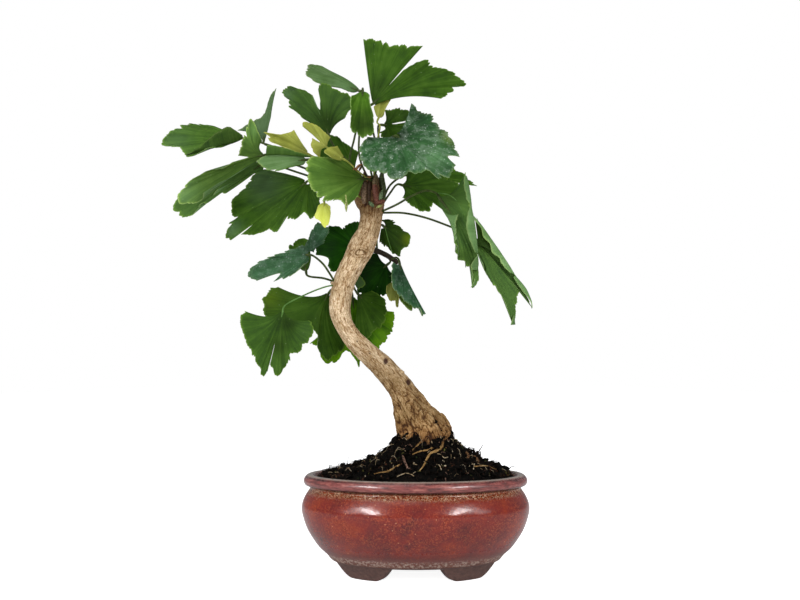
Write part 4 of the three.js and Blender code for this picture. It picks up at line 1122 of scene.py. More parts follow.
# %% Bud scales
BUD_SCALES = [
    [20, 254, 10, 2.6, 0.5], [75, 252, 11, 2.8, 0.5], [130, 255, 9, 2.4, 0.6], [185, 250, 10, 3, 0.7],
    [240, 252, 12, 2.4, 0.4], [325, 250, 9, 2.4, 0.6], [170, 243, 8, 2.6, 1.3], [40, 243, 7, 2.4, 1.3],
]
BUD_TONES = {"dark brown": "#4a3624", "dry brown": "#86705a", "red brown": "#6e4030", "olive": "#6c5c3c",
             "dark green": "#46542c", "grey green": "#6c845c", "pale green": "#aab86c", "tan": "#96683c"}
BUDS = [
    ["red brown", [[-25.6, -10.4, 240.5, 1.9], [-26.2, -11.2, 246, 2.1], [-27, -11, 252, 1.9],
         [-27.2, -10, 255, 1]]],
    ["olive", [[-27, -10.2, 251, 1.4], [-26.9, -10.4, 255, 2], [-26.2, -9, 259, 1.5],
         [-26, -8, 261, 0.5]]],
    ["red brown", [[-27, -11, 240.6, 0.7], [-24.4, -11.8, 241.4, 1.3], [-21.4, -11, 242.2, 1.3],
         [-20.2, -10, 242.8, 0.5]]],
    ["grey green", [[-31, -11.4, 242, 0.3], [-29.8, -12.2, 240.6, 1.1], [-28.4, -12.4, 239.1, 1],
         [-27.6, -12, 238.2, 0.3]]],
    ["pale green", [[-26, -11.4, 237.9, 0.3], [-24.8, -11.8, 238.3, 0.7], [-23.4, -11.6, 238.9, 0.7],
         [-22.4, -11, 239.3, 0.3]]],
    ["grey green", [[-24.4, -10.4, 241.6, 0.3], [-23.4, -11.2, 244.4, 1.4], [-22.6, -10.8, 247.4, 1.3],
         [-22, -9.6, 250, 0.4]]],
    ["dark green", [[-21.2, -6, 243, 1.2], [-21.4, -6.6, 252, 1.9], [-22.6, -6, 259, 1.8],
         [-22, -4, 264, 1]]],
    ["dark brown", [[-30.8, -9, 240, 1], [-31, -9.8, 247, 1.6], [-30.6, -9, 254, 1.6],
         [-30, -8, 259, 0.6]]],
    ["dry brown", [[-34, -9, 241, 1.2], [-34.4, -10, 247, 1.9], [-33.6, -8.6, 253, 1.5],
         [-33, -7, 257, 0.5]]],
    ["tan", [[-39.6, -14.6, 262, 0.3], [-38.6, -15.4, 264, 0.9], [-36.6, -15.6, 265.8, 0.7],
         [-35, -15, 266, 0.2]]],
    ["dark brown", [[-37.6, -15, 261.6, 0.3], [-36.4, -15.8, 263.6, 0.8], [-35.8, -15.4, 265.4, 0.3]]],
    ["tan", [[-41.4, -14.6, 262.6, 0.2], [-40.2, -15.4, 263.4, 0.6], [-39, -15.2, 263.2, 0.2]]],
    ["tan", [[-32.4, -10.6, 256, 0.4], [-31, -11.4, 258, 0.9], [-29.6, -11, 258.6, 0.4]]],
    ["pale green", [[-45.4, -28.2, 243, 0.5], [-45, -28.8, 239, 0.55], [-45, -29, 235, 0.95],
         [-44.9, -29, 231.8, 0.2]]],
]
bud_skin, tree = new_material("dry and green bud scale", IOR=1.45, Roughness=0.6, Specular_IOR_Level=0.2)
tone_in = noted(tree, "tone")
tone = ramp(tree, tone_in, [(i / len(BUD_TONES), swatch) for i, swatch in enumerate(BUD_TONES.values())])
tone.color_ramp.interpolation = "CONSTANT"
place = own_place(tree)
fibres = noise_texture(tree, place, scale_of(0.9), 4, 0.7)
darkened = ramp(tree, fibres, [(0.38, "#7a6a5c"), (0.62, "#ffffff")])
weathered = times(tree, tone, darkened)
feed(tree, "Base Color", weathered)
ribs = bump(tree, fibres, 0.6, 0.15)
feed(tree, "Normal", ribs)
print("buds:", len(BUDS), "and old scales:", len(BUD_SCALES))

# %% Growing the buds
bud_paths, bud_tones = [], []
names = list(BUD_TONES)
for degrees, height, length, radius, lean in BUD_SCALES:
    turn = math.radians(degrees)
    out = np.array([math.cos(turn), math.sin(turn), 0])
    start = np.array([-30, 0, height]) + 6 * out
    middle = start + out * lean * length * 0.35 + [0, 0, length * 0.55]
    tip = start + out * lean * length * 0.45 + [0, 0, length]
    bud_paths.append(spline([[*start, radius], [*middle, radius * 0.85], [*tip, 0.3]], 10))
    bud_tones.append((names.index("dark brown") + 0.5) / len(names))
for kind, route in BUDS:
    bud_paths.append(spline(route, 8))
    bud_tones.append((names.index(kind) + 0.5) / len(names))
strands("bud_scales", bud_skin, bud_paths, 20, bud_tones)


# %% [markdown]
# ## Leaf surfaces
# A ginkgo leaf is leathery and satin: a thin waxy skin over green tissue, with fine veins that
# fan out from the stalk and fork, about one to the millimetre at the edge.  The underside is paler
# and duller.  Each leaf carries numbers for this: millimetres along its edge, millimetres from
# its foot, and a number of its own.  Noise stretched along the rays then draws the veins.
# No two leaves are alike, and none is even: it has painted shade near its foot, a grey bloom of wax in
# some places and yellows in others. How light, waxy and yellow it is are numbers at the points of the
# blade too, and how light it is holds its own tone together with painted light and shade.

# %% Leaf materials
VEIN_SPACING = 1.2


def leaf_skin(name, swatches, margin, gloss, vein_depth, dust=None, margin_width=1.6):
    """Skin of one side of a leaf: swatches from its darkest tissue to its palest veins, and the
    colour and width in millimetres of its margin.  dust is a colour and how much of it there is."""
    material, tree = new_material(name, IOR=1.45, Specular_IOR_Level=gloss)
    place = own_place(tree)
    fan = noted(tree, "fan", "Vector")
    rim = noted(tree, "rim")
    tone = noted(tree, "tone")
    bloom = noted(tree, "bloom")
    ripe = noted(tree, "ripe")
    vein_place = stretched(tree, fan, (1 / VEIN_SPACING, 0.02, 1))
    veins = noise_texture(tree, vein_place, 1.0, 3, 0.6)
    broad_place = stretched(tree, fan, (0.16, 0.03, 1))
    broad = noise_texture(tree, broad_place, 1.0, 3)
    blotch = noise_texture(tree, place, scale_of(9), 5, 0.55)
    folds = maths(tree, "MULTIPLY_ADD", broad, 0.38, 0.0)
    mixed = maths(tree, "MULTIPLY_ADD", blotch, 0.34, folds)
    total = maths(tree, "MULTIPLY_ADD", veins, 0.28, mixed)
    tissue = ramp(tree, total, evenly_placed(swatches, 0.38, 0.62))
    yellowed = mix(tree, ripe, tissue, "#7c8c0c")
    waxed = mix(tree, bloom, yellowed, "#5f7a58")
    patchy = maths(tree, "MULTIPLY_ADD", blotch, 1.6, -0.8)
    edge = maths(tree, "DIVIDE", rim, margin_width)
    edge_place = maths(tree, "SUBTRACT", edge, patchy)
    edge_share = ramp(tree, edge_place, [(0.1, 0.5), (1.0, 0)])
    margined = mix(tree, edge_share, waxed, margin)
    hem_share = ramp(tree, rim, [(0.25, 0.55), (0.7, 0)])
    hemmed = mix(tree, hem_share, margined, HEMS.get(margin, margin))
    from_foot = add(tree, "SeparateXYZ", {0: fan}).outputs["Y"]
    foot_share = maths(tree, "DIVIDE", from_foot, 14)
    foot_shade = ramp(tree, foot_share, [(0, 0.72), (1, 1)])
    footed = times(tree, hemmed, foot_shade)
    # tone multiplies in each point's own lightness together with painted light and shade
    toned_with_painted_shade = times(tree, footed, tone)
    crumbs = cells(tree, place, scale_of(3.4))
    crumb_size = ramp(tree, crumbs.outputs["Distance"], [(0.05, 0.4), (0.1, 0)])
    crumb_kind = ramp(tree, crumbs.outputs["Color"], [(0.5, 0), (0.62, 1)])
    crumb_part = maths(tree, "MULTIPLY", crumb_size, crumb_kind)
    colours = mix(tree, crumb_part, toned_with_painted_shade, "#8ea47c")
    if dust:
        chalk, amount = dust
        spots = cells(tree, place, scale_of(1.9))
        near_spot = ramp(tree, spots.outputs["Distance"], [(0.16, 1), (0.28, 0)])
        film = noise_texture(tree, place, scale_of(5), 6, 0.75)
        film_share = ramp(tree, film, [(0.47, 0.02), (0.6, amount)])
        splash = maths(tree, "MULTIPLY", near_spot, film_share)
        haze = maths(tree, "MULTIPLY", film_share, 0.18)
        dusty = maths(tree, "MAXIMUM", splash, haze)
        colours = mix(tree, dusty, colours, chalk)
    feed(tree, "Base Color", colours)
    wax = maths(tree, "MULTIPLY_ADD", blotch, 0.24, 0.62 - 0.5 * gloss)
    feed(tree, "Roughness", wax)
    vein_bump = bump(tree, veins, 0.6, vein_depth)
    pucker = noise_texture(tree, place, scale_of(1.6), 3)
    pucker_bump = bump(tree, pucker, 0.4, 0.12, vein_bump)
    feed(tree, "Normal", pucker_bump)
    return material


print("veins are", VEIN_SPACING, "mm apart")

# %% Finishes of the leaves
HEMS = {"#42661a": "#6c8a34", "#5c8030": "#84a44e", "#7c9c42": "#a4bc6a"}
UPPER = {
    "deep": leaf_skin("waxy leaf in shade", ["#062800", "#103800", "#1c4a04"], "#2a5408", 0.07, 0.3),
    "mature": leaf_skin("waxy mature leaf", ["#1f3a05", "#304f0c", "#40601a"], "#42661a", 0.08, 0.35),
    "fresh": leaf_skin("waxy summer leaf", ["#2a4a08", "#3c5e12", "#4e7022"], "#5c8030", 0.08, 0.35),
    "light": leaf_skin("waxy young leaf", ["#3a5c12", "#4c6e1e", "#60822e"], "#7c9c42", 0.08, 0.35),
    "blue": leaf_skin("blue-green leaf", ["#1c4224", "#2c5632", "#42704a"], "#567a4c", 0.1, 0.35,
                      dust=("#a8bab0", 0.45)),
    "dusty": leaf_skin("leaf with splashes of lime", ["#1a3e1c", "#285228", "#3c683a"], "#5c7c46",
                       0.1, 0.35, dust=("#b4c4b4", 0.9)),
    "ripe": leaf_skin("yellowing leaf", ["#244a04", "#3e6a06", "#56880a"], "#648e10", 0.08, 0.3,
                      margin_width=8),
    "young": leaf_skin("soft new leaf", ["#6e742a", "#868c38", "#a0a64e"], "#9a9c44", 0.12, 0.25),
    "pale": leaf_skin("soft pale leaf", ["#b8c048", "#c6ce56", "#d4dc70"], "#d0d66a", 0.12, 0.25),
}
PALE_SIDE = leaf_skin("matt underside", ["#4a6a34", "#5a7a44", "#6c8a58"], "#7c9458", 0.06, 0.4)
GREY_SIDE = leaf_skin("grey underside", ["#587458", "#688064", "#7c9278"], "#88a066", 0.08, 0.4)
YOUNG_SIDE = leaf_skin("soft underside", ["#828a38", "#969c4a", "#acb060"], "#b4b868", 0.1, 0.3)
STALK_SKIN = fibre_material("green leaf stalk", ["#222c12", "#36421e", "#4c5a2c"], 0.45)
YOUNG_STALK = fibre_material("yellow-green leaf stalk", ["#666e2c", "#808638", "#9a9e4c"], 0.45)
RIB_SKIN = fibre_material("pale leaf rib", ["#34581c", "#4c7032", "#64884a"], 0.5)
UNDER = {"young": YOUNG_SIDE, "pale": YOUNG_SIDE, "blue": GREY_SIDE, "dusty": GREY_SIDE}
print("leaf finishes:", len(UPPER))

# %% [markdown]
# ## The shape of a leaf
# The fan is drawn as rays from a narrow seat at the end of its stalk.  Each ray ends on the edge,
# which runs through a few points for each lobe.  A cleft is where rays between two lobes stop
# short.  The margin is bitten into small uneven teeth, and the blade has soft pleats.  A ray
# is a curve, so a leaf that droops or curls does so from its foot.  The blade is a real sheet:
# two faces, 0.6 mm apart at the foot and half as much at the edge, closed by a thin rim.

# %% Rays of a fan
EDGE_STEP = 0.8
BLADE_ROWS = 18
CLEFT_RAYS = 12
CLEFT_WIDTH = 3
SOFTNESS = {"young": 0.4, "pale": 0.4}
LARGE_TEETH, SMALL_TEETH, FINE_TEETH = 8.5, 3.1, 1.7


def wander(values, size, seed):
    """Smooth noise from about -1 to 1 along a line, with features that many millimetres long."""
    return np.array([2 * noise.noise(Vector((value / size, seed * 7.31, 3.7))) for value in values])


def notches(along, width, seed):
    """Sharp notches between round teeth about that wide: 1 in a notch and 0 on a tooth."""
    phase = along / width + 0.45 * wander(along, 1.7 * width, seed)
    return 1 - np.abs(np.sin(math.pi * phase)) ** 0.55


def bites(along, length, seed, softness):
    """Millimetres that the teeth take off the edge at each point along it."""
    uneven = 0.25 + 2.2 * np.abs(wander(along, 14, seed + 20))
    corner = np.clip(np.minimum(along, length - along) / 2.5, 0, 1)
    depth = uneven * (notches(along, LARGE_TEETH, seed) + 0.55 * notches(along, SMALL_TEETH, seed + 40))
    return 0.25 + corner * softness * (depth + 0.3 * notches(along, FINE_TEETH, seed + 60))


def fan_rays(leaf, seed):
    """Ends of the rays, how far along it each ray goes, bites in mm, and mm along the edge."""
    ends, reach, bitten, along = [], [], [], []
    passed = 0
    softness = SOFTNESS.get(leaf["finish"], 1) * leaf["ragged"]
    for index, lobe in enumerate(leaf["lobes"]):
        path = spline(lobe, 12)
        length = path_length(path)
        path = evenly(path, max(8, round(length / EDGE_STEP)))
        place = np.linspace(0, length, len(path))
        ends.append(path)
        reach.append(np.ones(len(path)))
        bitten.append(bites(place, length, seed + index, softness))
        along.append(place + passed)
        passed += length
        if index + 1 < len(leaf["lobes"]):
            share = np.arange(1, CLEFT_RAYS)[:, None] / CLEFT_RAYS
            ends.append(path[-1] * (1 - share) + np.array(leaf["lobes"][index + 1][0]) * share)
            depth = np.sin(math.pi * share[:, 0]) ** 0.7
            reach.append(1 - (1 - leaf["cleft"]) * depth)
            bitten.append(np.zeros(len(share)))
            along.append(passed + CLEFT_WIDTH * share[:, 0])
            passed += CLEFT_WIDTH
    return np.vstack(ends), *(np.concatenate(rows) for rows in (reach, bitten, along))


print("teeth are", LARGE_TEETH, SMALL_TEETH, "and", FINE_TEETH, "mm wide")

# %% The blade
SEAT_AHEAD = 4
SEAT_WIDTH = 3
SEAT_ROUND = 2.6
PLEAT_WIDTH = 4.6
RUFFLE_WIDTH = 15
BLADE_HALF = 0.3
RIM_THINNER = 0.14
FACING = {"front": np.array([0, -1, 0.2]), "back": np.array([0, 1, 0.2])}


def blade_grid(leaf, ends, reach, bitten, along, seed):
    """Points of the blade's middle sheet, rows from the seat to the edge, and the way they face."""
    foot = np.array(leaf["stalk"][-1], float)
    rays = ends - foot
    aside = np.linspace(-0.5, 0.5, len(ends))
    length = np.linalg.norm(rays, axis=1).mean()
    axis = unit(rays.sum(axis=0))
    across = (rays * aside[:, None]).sum(axis=0)
    across = unit(across - axis * (across @ axis))
    normal = np.cross(across, axis)
    middle = foot + axis * min(SEAT_AHEAD, 0.25 * length)
    start = middle + across * aside[:, None] * SEAT_WIDTH
    if leaf["round_seat"]:
        flat = rays - (rays @ normal)[:, None] * normal
        start = foot + unit(flat) * SEAT_ROUND
    ray = np.linalg.norm(ends - start, axis=1)
    arch = np.array(leaf["arch"], float)
    pull = np.linspace(*np.broadcast_to(leaf["flare"], 2), len(ends))
    control = (start + axis * (pull * ray)[:, None] + across * (aside * 0.25 * length)[:, None]
               + arch * np.minimum(1, ray / length)[:, None])
    far = (reach - bitten / ray) * (np.linspace(0, 1, BLADE_ROWS + 1)[:, None] ** 0.85)
    far = far[:, :, None]
    sheet = start * (1 - far) ** 2 + control * 2 * far * (1 - far) + ends * far ** 2
    pleat = 0.2 * wander(along, PLEAT_WIDTH, seed + 60) * far[:, :, 0]
    ruffle = 1.3 * wander(along, RUFFLE_WIDTH, seed + 80) * far[:, :, 0] ** 2.5
    facing = sheet_normals(sheet)
    facing[0] = normal
    sheet = sheet + facing * (pleat + ruffle)[:, :, None]
    return sheet, ray * far[:, :, 0], ray * (reach - bitten / ray - far[:, :, 0]), normal


print("rows of faces from seat to edge:", BLADE_ROWS)


# %% Faces of the blade
def sheet_normals(sheet):
    """The way a sheet of points faces at each of them."""
    across = np.gradient(sheet, axis=1)
    outward = np.gradient(sheet, axis=0)
    facing = np.cross(across, outward)
    return facing / np.maximum(np.linalg.norm(facing, axis=2, keepdims=True), 1e-9)


def blade_mesh(sheet, normal):
    """Points and faces of the closed blade, and for each face whether it is on the + side."""
    rows, columns = sheet.shape[:2]
    facing = sheet_normals(sheet)
    facing[0] = normal
    share = np.linspace(0, 1, rows)[:, None, None]
    half = BLADE_HALF - RIM_THINNER * share ** 5
    points = np.vstack([(sheet + facing * half).reshape(-1, 3), (sheet - facing * half).reshape(-1, 3)])
    below = rows * columns
    faces, sides = [], []
    for row in range(rows - 1):
        for column in range(columns - 1):
            a = row * columns + column
            b, c, d = a + 1, a + 1 + columns, a + columns
            faces += [(a, b, c, d), (a + below, d + below, c + below, b + below)]
            sides += [0, 1]
    rim = list(range(columns))
    rim += [row * columns + columns - 1 for row in range(1, rows)]
    rim += [(rows - 1) * columns + column for column in range(columns - 2, -1, -1)]
    rim += [row * columns for row in range(rows - 2, 0, -1)]
    for a, b in zip(rim, rim[1:] + rim[:1]):
        faces.append((b, a, a + below, b + below))
        sides.append(0)
    return points, faces, sides


print(f"a blade is {2 * BLADE_HALF} mm thick at its foot")

# %% [markdown]
# ## Rolled edge, stalk and rib
# Where a leaf's edge rolls over, a second narrow sheet arches from the edge towards the front.
# The stalk is a thin round tube from the wood to the foot of the blade.  It runs on a little way
# under the blade and fades into it, as the real one does where its strands fan out as veins.
# Two leaves show a pale rib, which is a thin tube too.


# %% Rolled edges
FOLD_ROWS = 6
FOLD_RISE = 1.8
FOLD_LIFT = 0.5


def fold_sheet(edge, free, seed):
    """A sheet from the leaf's edge to a free edge, arched towards the front and toothed there."""
    count = round(max(path_length(spline(edge, 8)), 6) / EDGE_STEP)
    near, far = evenly(spline(edge, 8), count), evenly(spline(free, 8), count)
    along = np.linspace(0, count * EDGE_STEP, count + 1)
    width = np.maximum(np.linalg.norm(far - near, axis=1), 0.5)
    bitten = bites(along, along[-1], seed, 0.45) / width
    share = (np.linspace(0, 1, FOLD_ROWS + 1)[:, None] * (1 - np.minimum(0.6, bitten)))[:, :, None]
    sheet = near * (1 - share) + far * share
    sheet[:, :, 1] -= FOLD_LIFT + FOLD_RISE * np.sin(math.pi * share[:, :, 0] * 0.75)
    return sheet, along


print(f"a rolled edge rises {FOLD_LIFT + FOLD_RISE:.1f} mm over its leaf")

# %% Stalk and rib
STALK_SIDES = 12
STALK_RADIUS = 0.72
SLIM_FINISHES = ("young", "pale")


def stalk_path(leaf, sheet):
    """The stalk's middle line and radius, from the wood to a thin tip under the blade."""
    seat = sheet[0, sheet.shape[1] // 2]
    tip = sheet[BLADE_ROWS // 4, sheet.shape[1] // 2]
    slim = STALK_RADIUS * (0.8 if leaf["finish"] in SLIM_FINISHES else 1) * leaf["stalk_width"]
    stops = [[*spot, slim] for spot in leaf["stalk"]]
    stops += [[*seat, slim * 1.35], [*tip, 0.18]]
    return spline(stops, 9)


def rib_path(name, sheet):
    """Path of a pale rib that stands out a little in front of the blade and gets thinner."""
    flat = sheet.reshape(-1, 3)
    route = []
    for number, (x, z) in enumerate(RIBS[name]):
        nearest = flat[np.argmin((flat[:, 0] - x) ** 2 + (flat[:, 2] - z) ** 2)]
        route.append([x, nearest[1] - 0.35, z, 0.42 - 0.08 * number])
    return spline(route, 6)


print(f"a stalk is {2 * STALK_RADIUS:.1f} mm thick")


# %% The whole leaf
def looks_and_shade_at(name, points, fold_light_and_shade):
    """How light, how grey with wax and how yellow a leaf is at each of its points: an even look for the
    whole leaf, and marks of [x, z, radius, light, wax, yellow] that fade out round their middle. Light is
    the leaf's own tone together with painted light and shade, and the light of a fold multiplies it."""
    even, marks = LOOKS_WITH_PAINTED_SHADE.get(name, [[1, 0, 0], []])
    looks = np.tile(np.array(even, float), (len(points), 1))
    for x, z, radius, *look in marks:
        weight = np.exp(-((points[:, 0] - x) ** 2 + (points[:, 2] - z) ** 2) / radius ** 2)[:, None]
        looks = looks * (1 - weight) + np.array(look) * weight
    # painted shade in a dark fold: its light below 1 darkens it, above 1 makes a roll paler
    looks[:, 0] *= fold_light_and_shade
    return looks


def build_leaf(name, leaf, seed):
    """One leaf as one piece: its blade, its rolled edges if it has any, its stalk and its rib."""
    ends, reach, bitten, along = fan_rays(leaf, seed)
    sheet, ray_mm, rim_mm, normal = blade_grid(leaf, ends, reach, bitten, along, seed)
    points, faces, sides = blade_mesh(sheet, normal)
    upper_is_plus = sheet_normals(sheet).mean(axis=(0, 1)) @ FACING[leaf["upper"]] > 0
    slots = [side if upper_is_plus else 1 - side for side in sides]
    own = np.full(ray_mm.shape, seed * 3.1)
    fan = [np.stack([np.broadcast_to(along, ray_mm.shape), ray_mm, own], axis=2)] * 2
    rim = [rim_mm, rim_mm]
    fold_light_and_shade = [np.ones(len(points))]
    for number, (look, light, edge, free) in enumerate(FOLDS.get(name, [])):
        strip, strip_along = fold_sheet(edge, free, seed + 7 * number)
        strip_points, strip_faces, strip_sides = blade_mesh(strip, sheet_normals(strip)[1].mean(axis=0))
        front_is_plus = sheet_normals(strip)[1:].mean(axis=(0, 1))[1] < 0
        faces += [tuple(index + len(points) for index in face) for face in strip_faces]
        points = np.vstack([points, strip_points])
        front, back = {"upper": (0, 1), "under": (1, 0)}[look]
        slots += [front if (side == 0) == front_is_plus else back for side in strip_sides]
        rows = np.arange(strip.shape[0])[:, None] * np.ones(strip.shape[1])
        own = np.full(rows.shape, seed * 5.3)
        fan += [np.stack([np.broadcast_to(strip_along, rows.shape), 20 + rows, own], axis=2)] * 2
        rim += [(FOLD_ROWS - rows) * 0.8] * 2
        fold_light_and_shade.append(np.full(len(strip_points), light))
    looks = looks_and_shade_at(name, points, np.concatenate(fold_light_and_shade))
    tubes = [(stalk_path(leaf, sheet), 2)]
    if name in RIBS:
        tubes.append((rib_path(name, sheet), 3))
    points = [points]
    for path, slot in tubes:
        more = tube_faces(len(path), STALK_SIDES, sum(len(part) for part in points))
        faces += more
        slots += [slot] * len(more)
        points.append(tube_points(path, STALK_SIDES))
    points = np.vstack(points)
    finish = leaf["finish"]
    stalk_skin = YOUNG_STALK if finish in SLIM_FINISHES else STALK_SKIN
    if leaf["stalk_width"] < 1:
        stalk_skin = RIB_SKIN
    skins = [UPPER[finish], UNDER.get(finish, PALE_SIDE), stalk_skin, RIB_SKIN]
    piece = make_piece(name + "_blade", points, faces, skins, name)
    piece.data.polygons.foreach_set("material_index", slots)
    spare = len(points) - len(looks)
    note_vectors(piece, "fan", np.vstack([part.reshape(-1, 3) for part in fan] + [np.zeros((spare, 3))]))
    note_values(piece, "rim", np.concatenate([part.ravel() for part in rim] + [np.full(spare, 9)]))
    looks = np.vstack([looks, np.tile([1, 0, 0], (spare, 1))])
    # tone is the leaf's own lightness together with painted light and shade
    for number, value in enumerate(("tone", "bloom", "ripe")):
        note_values(piece, value, looks[:, number])
    return piece


def slot_of(finish):
    """The name of the surface in the frame that a leaf's finish belongs to."""
    if finish in SLIM_FINISHES:
        return "leaf_young"
    return "leaf_bright" if finish == "ripe" else "leaf_green"


print("surface of a mature leaf in the frame:", slot_of("mature"))

# %% [markdown]
# ## Folds
# Some leaves are rolled at the edge, so that the other side shows. Each fold is a narrow sheet of its own,
# from the leaf's edge to a free edge. It says which side of the leaf the viewer sees and how light it is:
# below 1 that is painted shade in the fold, and above 1 it makes a roll paler.

# %% Table of folds
FOLDS = {
    "leaf_right_droop": [
        ("under", 1.0,
         [[33.5, -23.5, 256], [34.5, -23.5, 252], [36, -25, 240.5], [36.5, -26.5, 233.5],
          [37.5, -26.5, 229], [39.5, -24, 216], [40.5, -22.5, 205.5]],
         [[31.5, -24.5, 256], [31, -24.5, 252.5], [32, -25, 242], [34.5, -27.5, 235], [33, -26, 230.5],
          [32.5, -24.5, 222], [35, -24, 212.5], [38, -24, 206]]),
        ("under", 1.0,
         [[40.5, -22, 203.5], [40.5, -22.5, 200.5], [40.5, -22.5, 197.5], [40, -23, 194.5]],
         [[39, -23.5, 203], [37, -24.5, 200.5], [35, -25.5, 197], [36, -26, 194]]),
        ("under", 1.0,
         [[39, -24.5, 188.5], [38.5, -24.5, 186], [37.5, -25, 183]],
         [[37.5, -26.5, 188.5], [36.5, -26, 185.5], [35, -26, 183]]),
    ],
    "leaf_right_hanging": [
        ("upper", 0.4,
         [[41.5, 8.5, 232], [42, 7.5, 227.5], [42.5, 5, 221.5], [42.5, 2.5, 215.5]],
         [[47, 8, 225.5], [50, 7, 219], [53.5, 5.5, 213.5], [58.5, 5, 206.5]]),
        ("under", 1.5,
         [[40.5, 9, 235.5], [45, 8, 230], [52, 6.5, 219.5], [58.5, 5, 209.5], [65, 7, 200], [68, 8, 195]],
         [[40.5, 6, 232], [45, 4.5, 226], [46, 3.5, 220], [50.5, 2.5, 215], [51, 2, 209.5], [56, 3, 206],
          [58.5, 3.5, 201], [64, 5.5, 196]]),
        ("under", 1.4,
         [[68, 10, 195], [72, 11, 191], [76.5, 12.5, 185.5], [79, 14, 180.5], [80.5, 15, 176.5],
          [80.5, 15.5, 172.5]],
         [[67, 9, 193], [69.5, 9.5, 188.5], [72, 11, 185], [75.5, 12, 181], [79, 13.5, 177],
          [81, 14.5, 173]]),
        ("under", 1.0,
         [[66.5, -4, 166], [66, -5.5, 163], [66, -7.5, 160]],
         [[65, -6.5, 166], [63.5, -9, 163], [62.5, -10, 159.5]]),
    ],
    "leaf_left_far": [
        ("upper", 0.5,
         [[-120, 17, 292.5], [-122.5, 15, 290], [-128.5, 11.5, 286.5], [-133.5, 9, 285], [-139, 7, 282.5],
          [-146, 8.5, 281.5], [-151, 8.5, 279.5], [-158, 9.5, 278]],
         [[-120.5, 15.5, 294], [-126, 16, 298], [-130.5, 17, 300.5], [-137.5, 15.5, 296.5],
          [-143, 12, 290.5], [-148, 9.5, 284.5], [-154, 8, 280], [-158, 9, 278.5]]),
    ],
    "leaf_left_mid": [
        ("upper", 0.75,
         [[-99, -18, 271.5], [-92, -16, 272.5], [-83, -13.5, 272.5], [-76, -12, 272], [-70, -11, 272]],
         [[-98, -18, 278.5], [-94, -17, 278.5], [-87.5, -15, 277.5], [-79.5, -13, 275.5],
          [-70, -11.5, 272.5]]),
    ],
}
RIBS = {
    "leaf_low_round": [[-20.5, 228], [-18.4, 219.7], [-15.3, 210]],
    "leaf_right_droop": [[15, 247], [22, 245.5], [27, 241], [30.5, 233], [31.5, 222]],
}
print("leaves with folds:", len(FOLDS))

# %% [markdown]
# ## The leaves
# Thirty-six leaves, each grown on its own stalk.  For each: its finish, the stalk from the wood out
# to the foot of the blade, and the edge of each lobe from one side round to the other.  cleft is
# how much of a ray the cleft leaves.  A round seat lets the rays start on a circle round the foot,
# for a blade that spreads to nearly all sides.  arch moves the middle of the blade by so many
# millimetres.  flare is the share of its length that a ray keeps to the leaf's own direction before
# it bends aside, and two numbers are for the two sides.  ragged makes the teeth deeper.  upper says
# which way the leaf's upper side looks.


# %% Table of leaves
def fan_leaf(finish, stalk, *lobes, cleft=1, round_seat=False, arch=(0, 0, 0), flare=0.3, ragged=1,
             stalk_width=1, upper="front"):
    """What build_leaf needs to know of a leaf, with what most leaves have in common filled in."""
    return {"finish": finish, "stalk": stalk, "lobes": lobes, "cleft": cleft, "round_seat": round_seat,
            "arch": arch, "flare": flare, "ragged": ragged, "stalk_width": stalk_width, "upper": upper}


